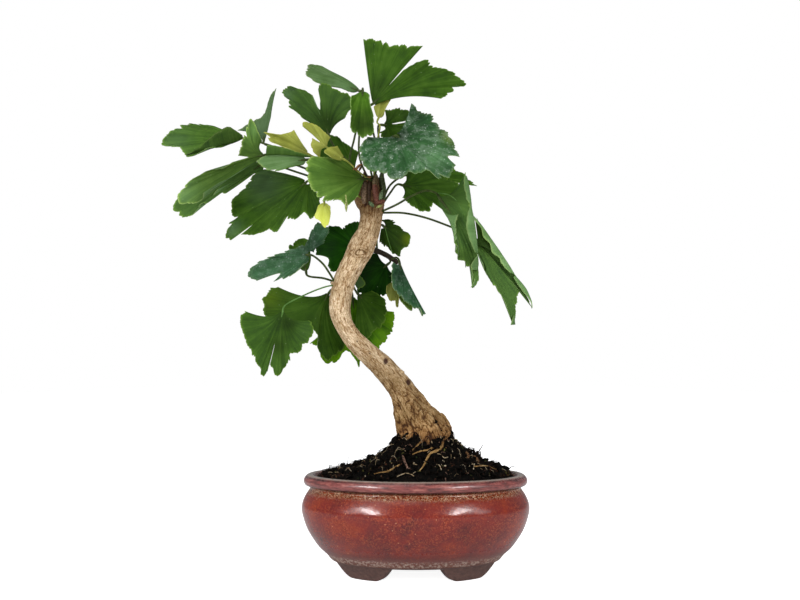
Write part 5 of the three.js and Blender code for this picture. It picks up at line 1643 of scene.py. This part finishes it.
LEAVES = {
    "leaf_crown_top": fan_leaf("mature",
        [[-28, 3, 255], [-26, 8, 280], [-30, 9, 300], [-31.5, 6, 311.5]],
        [[-35.5, 16, 363.5], [-30, 11, 363], [-22, 8, 360.5], [-16, 4, 355], [-10, 4, 356],
         [-2, 2, 354], [6, 2, 353.5]],
        [[-7, 2, 336.5], [0.5, 0, 340.5], [9, -2, 342.5], [16.5, -2, 338.5], [24.5, -5.5, 334],
         [31.5, -6, 328.5], [36, -6, 323], [28, -4.5, 322.5], [26, -4, 319], [18, -2, 315]],
        cleft=0.5, flare=[0.06, 0.45]),
    "leaf_crown_left": fan_leaf("fresh",
        [[-33, 4, 255], [-45, 10, 272], [-42, 10, 290], [-37, 6, 310], [-36, 3, 321]],
        [[-60, 17, 341.5], [-67.5, 18, 345], [-74, 20, 346.5], [-78.5, 14, 341.5], [-77.5, 13.5, 337],
         [-72.5, 11, 332], [-67.5, 9.5, 329], [-59.5, 9.5, 329.5], [-49, 8, 327.5]], upper="back"),
    "leaf_crown_tongue": fan_leaf("fresh",
        [[-31, 0, 258], [-38, 3, 276], [-37, 3, 305], [-36, -1, 318], [-35.5, -7, 320.5]],
        [[-41, -20, 311], [-43, -22.5, 302.5], [-43, -27, 294], [-43, -30, 286.5], [-41, -31.5, 283],
         [-36, -33, 280.5], [-31.5, -32.5, 279], [-27, -31.5, 281.5], [-26.5, -29.5, 288.5],
         [-29, -26, 298.5], [-31, -20, 310.5]], flare=0.2),
    "leaf_crown_fan": fan_leaf("mature", [[-32, -1, 255], [-43, 3, 270], [-54, 4, 281], [-58, 3, 288]],
        [[-77.5, 2, 302.5], [-82.5, 3.5, 307.5], [-88, 4, 311.5], [-88, 5.5, 317.5], [-92.5, 6, 321.5],
         [-90, 9.5, 328], [-82, 7.5, 326], [-75, 8, 324], [-72, 6, 319.5]],
        [[-66, 5.5, 317], [-66, 3, 326], [-60.5, 2, 328.5], [-56.5, 2.5, 324], [-50.5, 2, 322.5],
         [-45.5, 2, 320], [-42, 1, 316.5], [-42, 0, 310.5], [-47.5, 0, 301.5]], cleft=0.7, flare=0.42),
    "leaf_crown_back": fan_leaf("mature",
        [[-26, 6, 255], [-22, 15, 275], [-25, 14, 292], [-25, 11, 300]],
        [[-21, 8, 310.5], [-14, 12, 313], [-7, 15, 314], [-3.5, 16, 311.5], [-4, 16.5, 306.5],
         [-9, 15, 305]],
        [[-4.5, 18, 303.5], [-7, 11.5, 294], [-12.5, 9.5, 286.5], [-21, 8, 287.5], [-26.5, 10.5, 294]],
        cleft=0.45),
    "leaf_crown_rear": fan_leaf("mature", [[-32, 8, 247], [-37, 12, 257], [-40, 14, 268]],
        [[-39, 20, 283], [-48, 24, 290], [-57, 26, 297], [-66, 26, 295], [-70, 24, 287], [-68, 20, 279],
         [-60, 15, 272]]),
    "leaf_left_far": fan_leaf("fresh", [[-37, 6, 254], [-66, 15, 272], [-95, 17, 285], [-119, 16, 292]],
        [[-143.5, 29.5, 304], [-150.5, 29, 305.5], [-162.5, 34, 308], [-170, 26.5, 302],
         [-179.5, 28, 295.5], [-179.5, 24, 288.5], [-164.5, 14, 284], [-158.5, 10, 278], [-146, 3, 281],
         [-134.5, 9.5, 284]], flare=0.25, ragged=1.5),
    "leaf_left_upright": fan_leaf("mature",
        [[-33, 6, 259], [-66, 24, 279], [-92, 29, 288], [-107, 27, 291]],
        [[-129.5, 44.5, 305.5], [-121.5, 41.5, 308.5], [-115.5, 42.5, 312.5], [-110.5, 38.5, 314.5],
         [-107, 35, 320], [-104, 32.5, 327], [-99.5, 32, 334.5], [-101.5, 32, 323]], upper="back"),
    "leaf_left_front": fan_leaf("light",
        [[-36, -4, 250], [-64, -4, 262], [-84, -3, 270], [-99, -3, 276]],
        [[-104.5, 2, 286.5], [-108.5, 1, 297.5], [-113, 3, 303], [-115.5, -4, 293], [-117.5, -5, 286],
         [-119, -12.5, 272]],
        [[-127.5, -21, 263.5], [-135.5, -22.5, 261], [-144, -26.5, 254.5], [-151, -28, 248.5],
         [-155.5, -28.5, 241.5], [-153, -29, 236.5], [-146.5, -30, 237], [-140, -31, 240],
         [-137, -28.5, 244.5], [-133.5, -28.5, 247.5]], cleft=0.55),
    "leaf_left_long": fan_leaf("fresh", [[-37, 1, 249], [-65, 4, 260], [-88, 5, 268], [-101, 4, 273]],
        [[-145, -10, 256.5], [-158, -11, 245.5], [-162, -12, 237], [-156.5, -12, 231.5],
         [-150, -11, 232.5], [-143.5, -10, 239.5], [-139, -9.5, 241], [-133.5, -5.5, 250.5],
         [-129.5, -5, 248], [-126, -1.5, 255], [-121.5, 1, 261], [-114.5, 4.5, 271]], flare=0.25),
    "leaf_left_broad": fan_leaf("mature", [[-38, 3, 246], [-55, 3, 253], [-73, 3, 259]],
        [[-96.5, 9, 267], [-109.5, 12.5, 269], [-120, 14, 255.5], [-127.5, 10.5, 245], [-127, 9, 237.5],
         [-125.5, 7.5, 232], [-129, 5, 226.5], [-129.5, 5, 219.5], [-126, 4.5, 218]],
        [[-119, 3, 222], [-110.5, 2, 221.5], [-100.5, -0.5, 224], [-93.5, -2, 222.5], [-88, -2.5, 231],
         [-82.5, -3, 230], [-75, -3, 235], [-70, -4, 231], [-63.5, -2, 239.5], [-62, -2, 246.5]],
        cleft=0.86, round_seat=True, flare=0.1),
    "leaf_left_mid": fan_leaf("fresh", [[-36, -5, 253], [-54, -7, 265], [-70, -9, 271]],
        [[-91.5, -14, 278.5], [-97.5, -16, 278], [-100, -17.5, 272], [-106, -18.5, 268],
         [-103.5, -19, 265], [-100, -19, 261], [-94.5, -18, 260], [-87.5, -16, 262], [-79.5, -14, 266]],
        upper="back"),
    "leaf_centre": fan_leaf("light", [[-29, -4, 252], [-29, -8, 256], [-31, -12, 257]],
        [[-47.5, -12, 272], [-61, -15, 271.5], [-71.5, -21, 268.5], [-72.5, -26, 258],
         [-68, -28.5, 247.5], [-64.5, -30, 242], [-56.5, -30.5, 238], [-51, -28, 239.5],
         [-45, -27, 235.5], [-38, -21.5, 243.5]], flare=0.2),
    "leaf_right_dusty": fan_leaf("dusty",
        [[-28, -5, 256], [-30, -12, 268], [-23, -16, 279], [-13, -18, 285]],
        [[-32, -24.5, 282.5], [-36, -30, 276], [-37.5, -31, 269], [-34.5, -37.5, 261.5],
         [-29, -38, 257], [-20.5, -39, 254.5], [-16, -43, 250.5], [-9, -43.5, 250.5],
         [-3.5, -39, 255.5], [1.5, -39, 254], [7.5, -41.5, 256], [16, -42.5, 250.5], [23.5, -36, 254.5],
         [26, -35, 260.5]],
        [[29, -26.5, 267.5], [26.5, -22, 278], [23.5, -20.5, 285], [17.5, -12, 293.5], [14, -10, 301],
         [6.5, -6, 304.5], [-2.5, -3.5, 311]], cleft=0.9, round_seat=True, arch=[0, -4, 0], flare=0.05),
    "leaf_right_under": fan_leaf("mature", [[-22, 3, 243], [-17, 5, 251], [-12, 5, 257]],
        [[-7, 12.5, 268], [8, 18.5, 273.5], [22.5, 18, 267.5], [33.5, 12, 255], [30, 8.5, 249.5],
         [26, 4, 239.5], [18, 0, 237.5]],
        [[12.5, -2, 242.5], [11.5, -3, 237], [3.5, -4, 237], [-4, -1, 242.5], [-8.5, -2, 246.5]],
        cleft=0.85),
    "leaf_right_far": fan_leaf("mature", [[-22, 7, 246], [-17, 12, 258], [-7, 18, 266], [4, 24, 267]],
        [[16, 30, 278], [30, 30, 273.5], [36, 25.5, 269.5], [40, 26.5, 264.5], [45, 24, 258.5],
         [35.5, 22, 261.5], [23, 20.5, 262]]),
    "leaf_right_droop": fan_leaf("fresh",
        [[-22, -3, 237], [-12, -7, 241], [-2, -11, 246], [7, -13, 249], [14, -14, 247]],
        [[28, -23.5, 231.5], [25.5, -24.5, 225], [27.5, -25.5, 220], [26, -26, 216], [27.5, -26.5, 214],
         [25, -27, 211.5], [27, -27.5, 208.5], [25, -28, 205], [28, -28, 203.5], [27, -28.5, 200],
         [31, -29, 199], [31.5, -28.5, 194.5], [34, -28, 195.5], [37.5, -27, 190], [36, -25, 182],
         [40, -25, 184.5], [41, -22.5, 199.5], [39.5, -24, 213.5], [37, -27, 230.5], [35.5, -24, 247.5],
         [32.5, -23.5, 259.5]], arch=[4, 3, 0], flare=[0.7, 0.2], ragged=1.8),
    "leaf_right_hanging": fan_leaf("fresh",
        [[-22, 3, 237], [-8, 4, 237], [7, 5, 234], [24, 6, 228], [38, 6, 222]],
        [[45.5, -7.5, 200], [48.5, -4, 192.5], [52, -9, 187], [54.5, -11.5, 181], [58, -10.5, 177.5],
         [61, -10, 170], [65, -8, 159], [67.5, -5, 168], [70, 2, 182]],
        [[80.5, 16, 173], [77.5, 13, 184], [66.5, 9, 198.5], [58.5, 9, 211], [50.5, 13, 224],
         [42.5, 11.5, 235.5]], cleft=0.74, arch=[3, 0, 0], flare=0.2),
    "leaf_low_grey": fan_leaf("blue", [[-54, -1, 189], [-57, -5, 194], [-62, -9, 201], [-69, -12, 206]],
        [[-61, -7, 214.5], [-57, -5.5, 223.5], [-59, -4, 228.5], [-64.5, -5, 230.5], [-71, -10, 219.5],
         [-73, -10.5, 215.5], [-85, -18, 208.5], [-101, -21, 202], [-108.5, -22, 196],
         [-109.5, -23, 189.5], [-103.5, -24, 187.5]],
        [[-92.5, -25, 187], [-86, -23.5, 189], [-79, -21.5, 192], [-72.5, -19, 198]],
        cleft=0.8, round_seat=True, flare=0.05),
    "leaf_low_back": fan_leaf("mature", [[-54, 1.5, 189.5], [-62, 2, 192], [-73, 3, 194]],
        [[-71, 8.5, 208.5], [-73, 11, 220], [-78.5, 12, 221.5], [-86, 10, 217], [-87.5, 9, 212],
         [-81.5, 6.5, 203.5]]),
    "leaf_low_long": fan_leaf("mature", [[-48, 3, 187], [-52, 7, 186], [-57, 9, 185]],
        [[-94.5, 12, 187.5], [-101.5, 12, 186.5], [-102, 12, 183], [-105.5, 11, 179.5],
         [-104, 10, 175.5], [-104.5, 8.5, 169.5], [-101.5, 8, 165.5]],
        [[-70, 4, 157], [-65.5, 4, 152.5], [-65, 4.5, 144], [-63, 5, 139], [-59, 7, 135.5],
         [-55, 9, 138.5], [-49, 13, 144], [-44.5, 17, 154.5]], cleft=1, flare=0.35),
    "leaf_low_front": fan_leaf("mature",
        [[-54, -1.5, 187], [-60, -5, 185.5], [-73, -8, 180], [-87, -9, 172]],
        [[-113, -12, 169], [-116, -13.5, 165], [-115, -15, 158], [-112, -16.5, 149.5],
         [-109, -17.5, 143.5], [-105, -18, 136.5], [-101.5, -17, 130.5], [-101.5, -16, 126],
         [-98, -16, 125.5], [-96, -16, 133.5]],
        [[-95, -16.5, 133], [-91, -17.5, 125.5], [-88, -17, 126.5], [-86.5, -16.5, 129.5],
         [-82, -16, 134], [-82, -15.5, 138.5], [-80.5, -15, 140.5], [-77, -14.5, 140],
         [-74.5, -14, 142.5], [-70, -13, 148], [-67.5, -12, 152], [-66.5, -11, 156.5],
         [-67, -10.5, 160.5], [-70, -10, 162.5]], cleft=0.66, flare=0.35, stalk_width=0.7),
    "leaf_low_behind": fan_leaf("deep", [[-30, 8, 213], [-32, 13, 214], [-35, 17, 214]],
        [[-32.5, 22, 236.5], [-43, 24, 235], [-50.5, 22.5, 232], [-60, 22, 231.5], [-68.5, 17, 220.5],
         [-69, 15.5, 209.5]],
        [[-60.5, 14, 201.5], [-58.5, 15, 197.5], [-54.5, 16.5, 198], [-49, 17.5, 203]],
        cleft=0.88, flare=0.2),
    "leaf_low_round": fan_leaf("mature", [[-26, 9, 213], [-26, 10, 222], [-23, 11, 230]],
        [[-24, 13, 233], [-20, 13.5, 234.5], [-16, 14, 234.5], [-11, 14.5, 231.5], [-6.5, 14, 226.5],
         [-3, 13, 224], [-2, 12.5, 219.5], [-4.5, 11.5, 214.5], [-7, 11, 214], [-9, 10, 209],
         [-10.5, 10, 207], [-14, 12, 209], [-20, 14, 213.5], [-25, 16.5, 218]],
        round_seat=True, flare=0.1),
    "leaf_low_dark": fan_leaf("deep", [[-20, 14, 209], [-18, 20, 208], [-17, 24, 206]],
        [[-27, 29, 215], [-39, 33, 207], [-44, 34, 195], [-40, 34, 184], [-28, 34, 180], [-18, 31, 185],
         [-14, 28, 197]], flare=0.15),
    "leaf_low_blue": fan_leaf("blue", [[-16, 14, 206.5], [-13, 9, 207], [-11, 5, 205]],
        [[-15, 0, 203], [-17, -4, 198.5], [-16, -8, 192], [-14.5, -10, 186], [-11.5, -9, 180.5],
         [-9, -7, 177.5], [-5, -4, 174.5], [-1.5, 0, 170.5], [2.5, 4, 170.5], [6, 9, 164], [8, 10, 168]]),
    "leaf_low_pale": fan_leaf("young", [[-13.5, 13, 203], [-15, 12, 198], [-15, 11, 194]],
        [[-19.5, 8, 187], [-19.5, 8, 182], [-18, 8, 177.5], [-15.5, 8, 176], [-12.5, 9, 177],
         [-11, 9, 171.5], [-10.5, 10, 177], [-11, 11, 183.5]], flare=0.2),
    "leaf_low_under": fan_leaf("light", [[-12, 16.5, 203], [-12, 17, 196], [-11, 16.5, 190]],
        [[-12, 13, 180], [-7, 11, 173], [-2, 12, 170], [-1, 15, 178]], flare=0.2),
    "leaf_low_shade": fan_leaf("mature", [[-43, 10, 187.5], [-42, 13, 187], [-41, 16, 185]],
        [[-30, 21, 185], [-20, 23, 179], [-19, 22, 167], [-26, 20, 155], [-34, 19, 150], [-43, 19, 153]],
        flare=0.2),
    "leaf_low_tiny": fan_leaf("mature", [[-46, 8, 190], [-46, 12, 193], [-45, 15, 194]],
        [[-41, 17, 197], [-35, 17, 194], [-34, 16, 188], [-39, 15, 185]], flare=0.2),
    "leaf_low_bright": fan_leaf("ripe", [[-46, 10, 187], [-45, 20, 187], [-44, 26, 185]],
        [[-74, 26, 148.5], [-67.5, 24.5, 145], [-65.5, 24, 138.5], [-61, 23.5, 134], [-53.5, 23, 136],
         [-48, 24, 143], [-42, 23.5, 138], [-38.5, 23, 131.5], [-37, 24, 138.5], [-31.5, 25, 141.5],
         [-24.5, 26.5, 144.5], [-17, 29, 154], [-13.5, 30, 159], [-14.5, 31, 164], [-12.5, 32, 167],
         [-14, 32, 171.5]]),
    "young_left": fan_leaf("young", [[-34, -3, 257], [-54, -3, 268], [-70, -3, 275]],
        [[-82, -6, 292.5], [-84.5, -6, 291], [-91, -6, 289.5], [-96.5, -5, 290.5], [-103.5, -3, 291.5]],
        [[-100, -5, 287.5], [-99, -5.5, 285.5], [-92, -6.5, 282.5], [-84, -7.5, 279]],
        cleft=0.9, flare=0.4),
    "young_curl": fan_leaf("young", [[-33, -3, 260], [-49, -8, 271], [-57, -10, 277]],
        [[-56.5, -12, 285.5], [-62.5, -11.5, 291.5], [-66.5, -11.5, 294.5], [-72, -11, 296.5],
         [-75.5, -10, 296.5], [-75.5, -9, 294]],
        [[-69.5, -10, 285.5], [-70.5, -10.5, 280], [-68.5, -11, 275], [-63.5, -10.5, 271]], cleft=0.4),
    "young_centre": fan_leaf("young", [[-31, -6, 258], [-38, -13, 262], [-45, -16, 268]],
        [[-52, -16, 279], [-59.5, -16.5, 277], [-61, -18, 273.5], [-57, -20, 269.5]]),
    "young_top": fan_leaf("young", [[-28, -2, 260], [-27, -2, 280], [-24, 2, 297], [-26, 5, 300.5]],
        [[-28.5, 7, 312], [-24, 8, 318], [-16, 8.5, 320.5], [-17, 8, 316.5], [-20.5, 5.5, 310]]),
    "young_hanging": fan_leaf("pale",
        [[-36, -8, 245], [-47, -13, 250], [-56, -17, 248], [-60, -18, 243]],
        [[-57, -18, 237], [-55.5, -18, 233], [-55.5, -19, 231], [-56.5, -21, 225.5], [-59, -22, 222],
         [-61, -21.5, 224], [-63, -21, 227], [-66.5, -20, 229.5], [-65.5, -19, 233.5], [-64, -18, 237.5]]),
}

print("leaves:", len(LEAVES))

# %% [markdown]
# ## How each leaf is coloured and shaded
# Light, wax and yellow of each leaf: an even look for the whole blade, then soft round marks like the dabs
# of a wide brush, each [x, z, radius, light, wax, yellow] in millimetres and shares. Light is the leaf's
# own tone together with painted light and shade: low where it lies in the shade of other leaves, high
# where it is lit.

# %% Table of looks
LOOKS_WITH_PAINTED_SHADE = {
    "leaf_crown_top": [[1.05, 0, 0], [[-25, 325, 9, 0.6, 0, 0], [0, 330, 15, 0.9, 0, 0]]],
    "leaf_crown_left": [[0.7, 0, 0], [[-50, 325, 7, 0.9, 0.3, 0]]],
    "leaf_crown_tongue": [[1.6, 0, 0], [[-35, 290, 16, 0.4, 0, 0]]],
    "leaf_crown_fan": [[0.9, 0.1, 0], [[-60, 300, 10, 0.5, 0, 0], [-90, 320, 6, 1, 0.4, 0]]],
    "leaf_crown_back": [[0.75, 0, 0], []],
    "leaf_crown_rear": [[1.1, 0, 0], []],
    "leaf_left_far": [[0.95, 0.05, 0], [[-170, 290, 13, 1, 0.3, 0]]],
    "leaf_left_upright": [[0.7, 0.5, 0], []],
    "leaf_left_front": [[0.62, 0.1, 0], [[-110, 295, 9, 1.3, 0.3, 0], [-155, 245, 13, 1.2, 0.5, 0]]],
    "leaf_left_long": [[1.05, 0.2, 0], [[-125, 265, 12, 0.5, 0.1, 0]]],
    "leaf_left_broad": [[0.95, 0, 0], [[-105, 260, 13, 0.65, 0.4, 0], [-125, 225, 7, 1, 0.4, 0]]],
    "leaf_left_mid": [[1, 0.15, 0], []],
    "leaf_centre": [[0.92, 0.1, 0], [[-45, 260, 13, 0.55, 0, 0]]],
    "leaf_right_dusty": [[0.85, 0, 0], [[-10, 285, 9, 0.35, 0, 0], [0, 302, 8, 0.4, 0, 0],
                                       [10, 265, 11, 1.3, 0.3, 0], [25, 285, 6, 1, 0, 0.6]]],
    "leaf_right_far": [[1.3, 0, 0], []],
    "leaf_right_droop": [[1.1, 0.2, 0], [[24, 245, 9, 0.6, 0.1, 0], [30, 202, 9, 0.6, 0.1, 0]]],
    "leaf_right_hanging": [[1, 0.2, 0], [[47, 221, 9, 0.85, 0, 0]]],
    "leaf_low_grey": [[0.8, 0.1, 0], [[-68, 215, 13, 0.35, 0, 0]]],
    "leaf_low_back": [[0.9, 0, 0], []],
    "leaf_low_long": [[0.85, 0, 0], [[-100, 180, 9, 1.1, 0, 0.15]]],
    "leaf_low_front": [[1.05, 0.05, 0], [[-83, 160, 9, 0.45, 0, 0], [-90, 146, 7, 0.5, 0, 0],
                                         [-72, 155, 7, 0.9, 0.1, 0]]],
    "leaf_low_round": [[0.6, 0, 0], [[-4, 220, 5, 1, 0, 0.4]]],
    "leaf_low_dark": [[0.6, 0, 0], []],
    "leaf_low_blue": [[0.85, 0, 0], [[-12, 192, 7, 0.55, 0, 0]]],
    "leaf_low_pale": [[0.7, 0.1, 0], []],
    "leaf_low_under": [[0.8, 0, 0], []],
    "leaf_low_shade": [[0.85, 0, 0], []],
    "leaf_low_tiny": [[0.9, 0.3, 0], []],
}

print("leaves with a look of their own:", len(LOOKS_WITH_PAINTED_SHADE))

# %% Growing the leaves
faces_in_leaves = 0
for number, (name, leaf) in enumerate(LEAVES.items()):
    faces_in_leaves += len(build_leaf(name, leaf, number + 1).data.polygons)
print("faces in all leaves:", faces_in_leaves)

# %% [markdown]
# ## Table, background and light
# A product stands on a white table in front of a white wall.  Both are so bright that the camera
# sees no line between them.  Large soft boxes light the leaves evenly from the front and the
# sides and a weaker one hangs above.  The glaze mirrors two bright windows, each with a wide dim
# glow behind it, and nothing else shows their light.

# %% Table
TABLE_SIZE = 6.0
white, tree = new_material("white laminate", Base_Color=colour("#f2f2f2"), Roughness=0.9,
                           Specular_IOR_Level=0.1, Emission_Color=colour("#ffffff"))
seen = add(tree, "LightPath").outputs["Is Camera Ray"]
glow = maths(tree, "MULTIPLY_ADD", seen, 0.75, 0.15)
feed(tree, "Emission Strength", glow)
table_mesh = bpy.data.meshes.new("table")
half = TABLE_SIZE / 2
table_mesh.from_pydata([(-half, -half, 0), (half, -half, 0), (half, half * 4, 0), (-half, half * 4, 0)],
                       [], [(0, 1, 2, 3)])
table_mesh.materials.append(white)
table = bpy.data.objects.new("table", table_mesh)
bpy.context.scene.collection.objects.link(table)
print("table:", TABLE_SIZE, "m wide")

# %% Background
world = bpy.data.worlds.new("studio")
bpy.context.scene.world = world
world.use_nodes = True
tree = world.node_tree
background = tree.nodes["Background"]
background.inputs["Strength"].default_value = 1.0
rays = add(tree, "LightPath")
seen = mix(tree, rays.outputs["Is Camera Ray"], "#9b9da0", "#ffffff")
tree.links.new(seen.outputs[0], background.inputs["Color"])
print("background:", world.name)


# %% Soft lights
def soft_light(name, place, target, width, height, watts, mirrored=False):
    """A rectangular soft box at a point in metres, turned to face another point.  Only a mirrored
    one is seen in a gloss."""
    lamp = bpy.data.lights.new(name, "AREA")
    lamp.shape = "RECTANGLE"
    lamp.size = width
    lamp.size_y = height
    lamp.energy = watts
    box = bpy.data.objects.new(name, lamp)
    box.location = place
    box.rotation_euler = (Vector(target) - Vector(place)).to_track_quat("-Z", "Z").to_euler()
    box.visible_glossy = mirrored
    bpy.context.scene.collection.objects.link(box)
    return box


heart = (POT_MIDDLE[0], 0, 0.2)
soft_light("key left", (-1.15, -0.85, 0.5), heart, 0.8, 0.5, 8)
soft_light("key right", (1.2, -0.9, 0.5), heart, 0.8, 0.5, 7)
soft_light("front fill", (0, -1.9, 0.7), heart, 1.6, 1.0, 13)
soft_light("top light", (-0.3, -0.45, 1.3), heart, 1.0, 1.0, 4.6, mirrored=True)
WINDOW_DISTANCE = 1.25
WINDOW_HEIGHT = 0.62
for name, degrees, width, height, watts in (
        ("window left", -37, 0.1, 0.55, 12), ("window right", 39, 0.09, 0.5, 8),
        ("glow left", -48, 0.8, 0.3, 3.2), ("glow right", 50, 0.8, 0.3, 3.2)):
    turn = math.radians(degrees)
    spot = (WINDOW_DISTANCE * math.sin(turn), -WINDOW_DISTANCE * math.cos(turn), WINDOW_HEIGHT)
    window = soft_light(name, spot, (0, 0, 0.04), width, height, watts, mirrored=True)
    window.visible_diffuse = False
print("lights:", len(bpy.data.lights))

# %% View transform and triangle count
bpy.context.scene.view_settings.view_transform = "Standard"
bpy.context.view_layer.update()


made = [piece for piece in bpy.data.objects if piece.type == "MESH" and piece.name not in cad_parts]
print("triangles in all new pieces:", sum(triangles_of(piece.data) for piece in made))
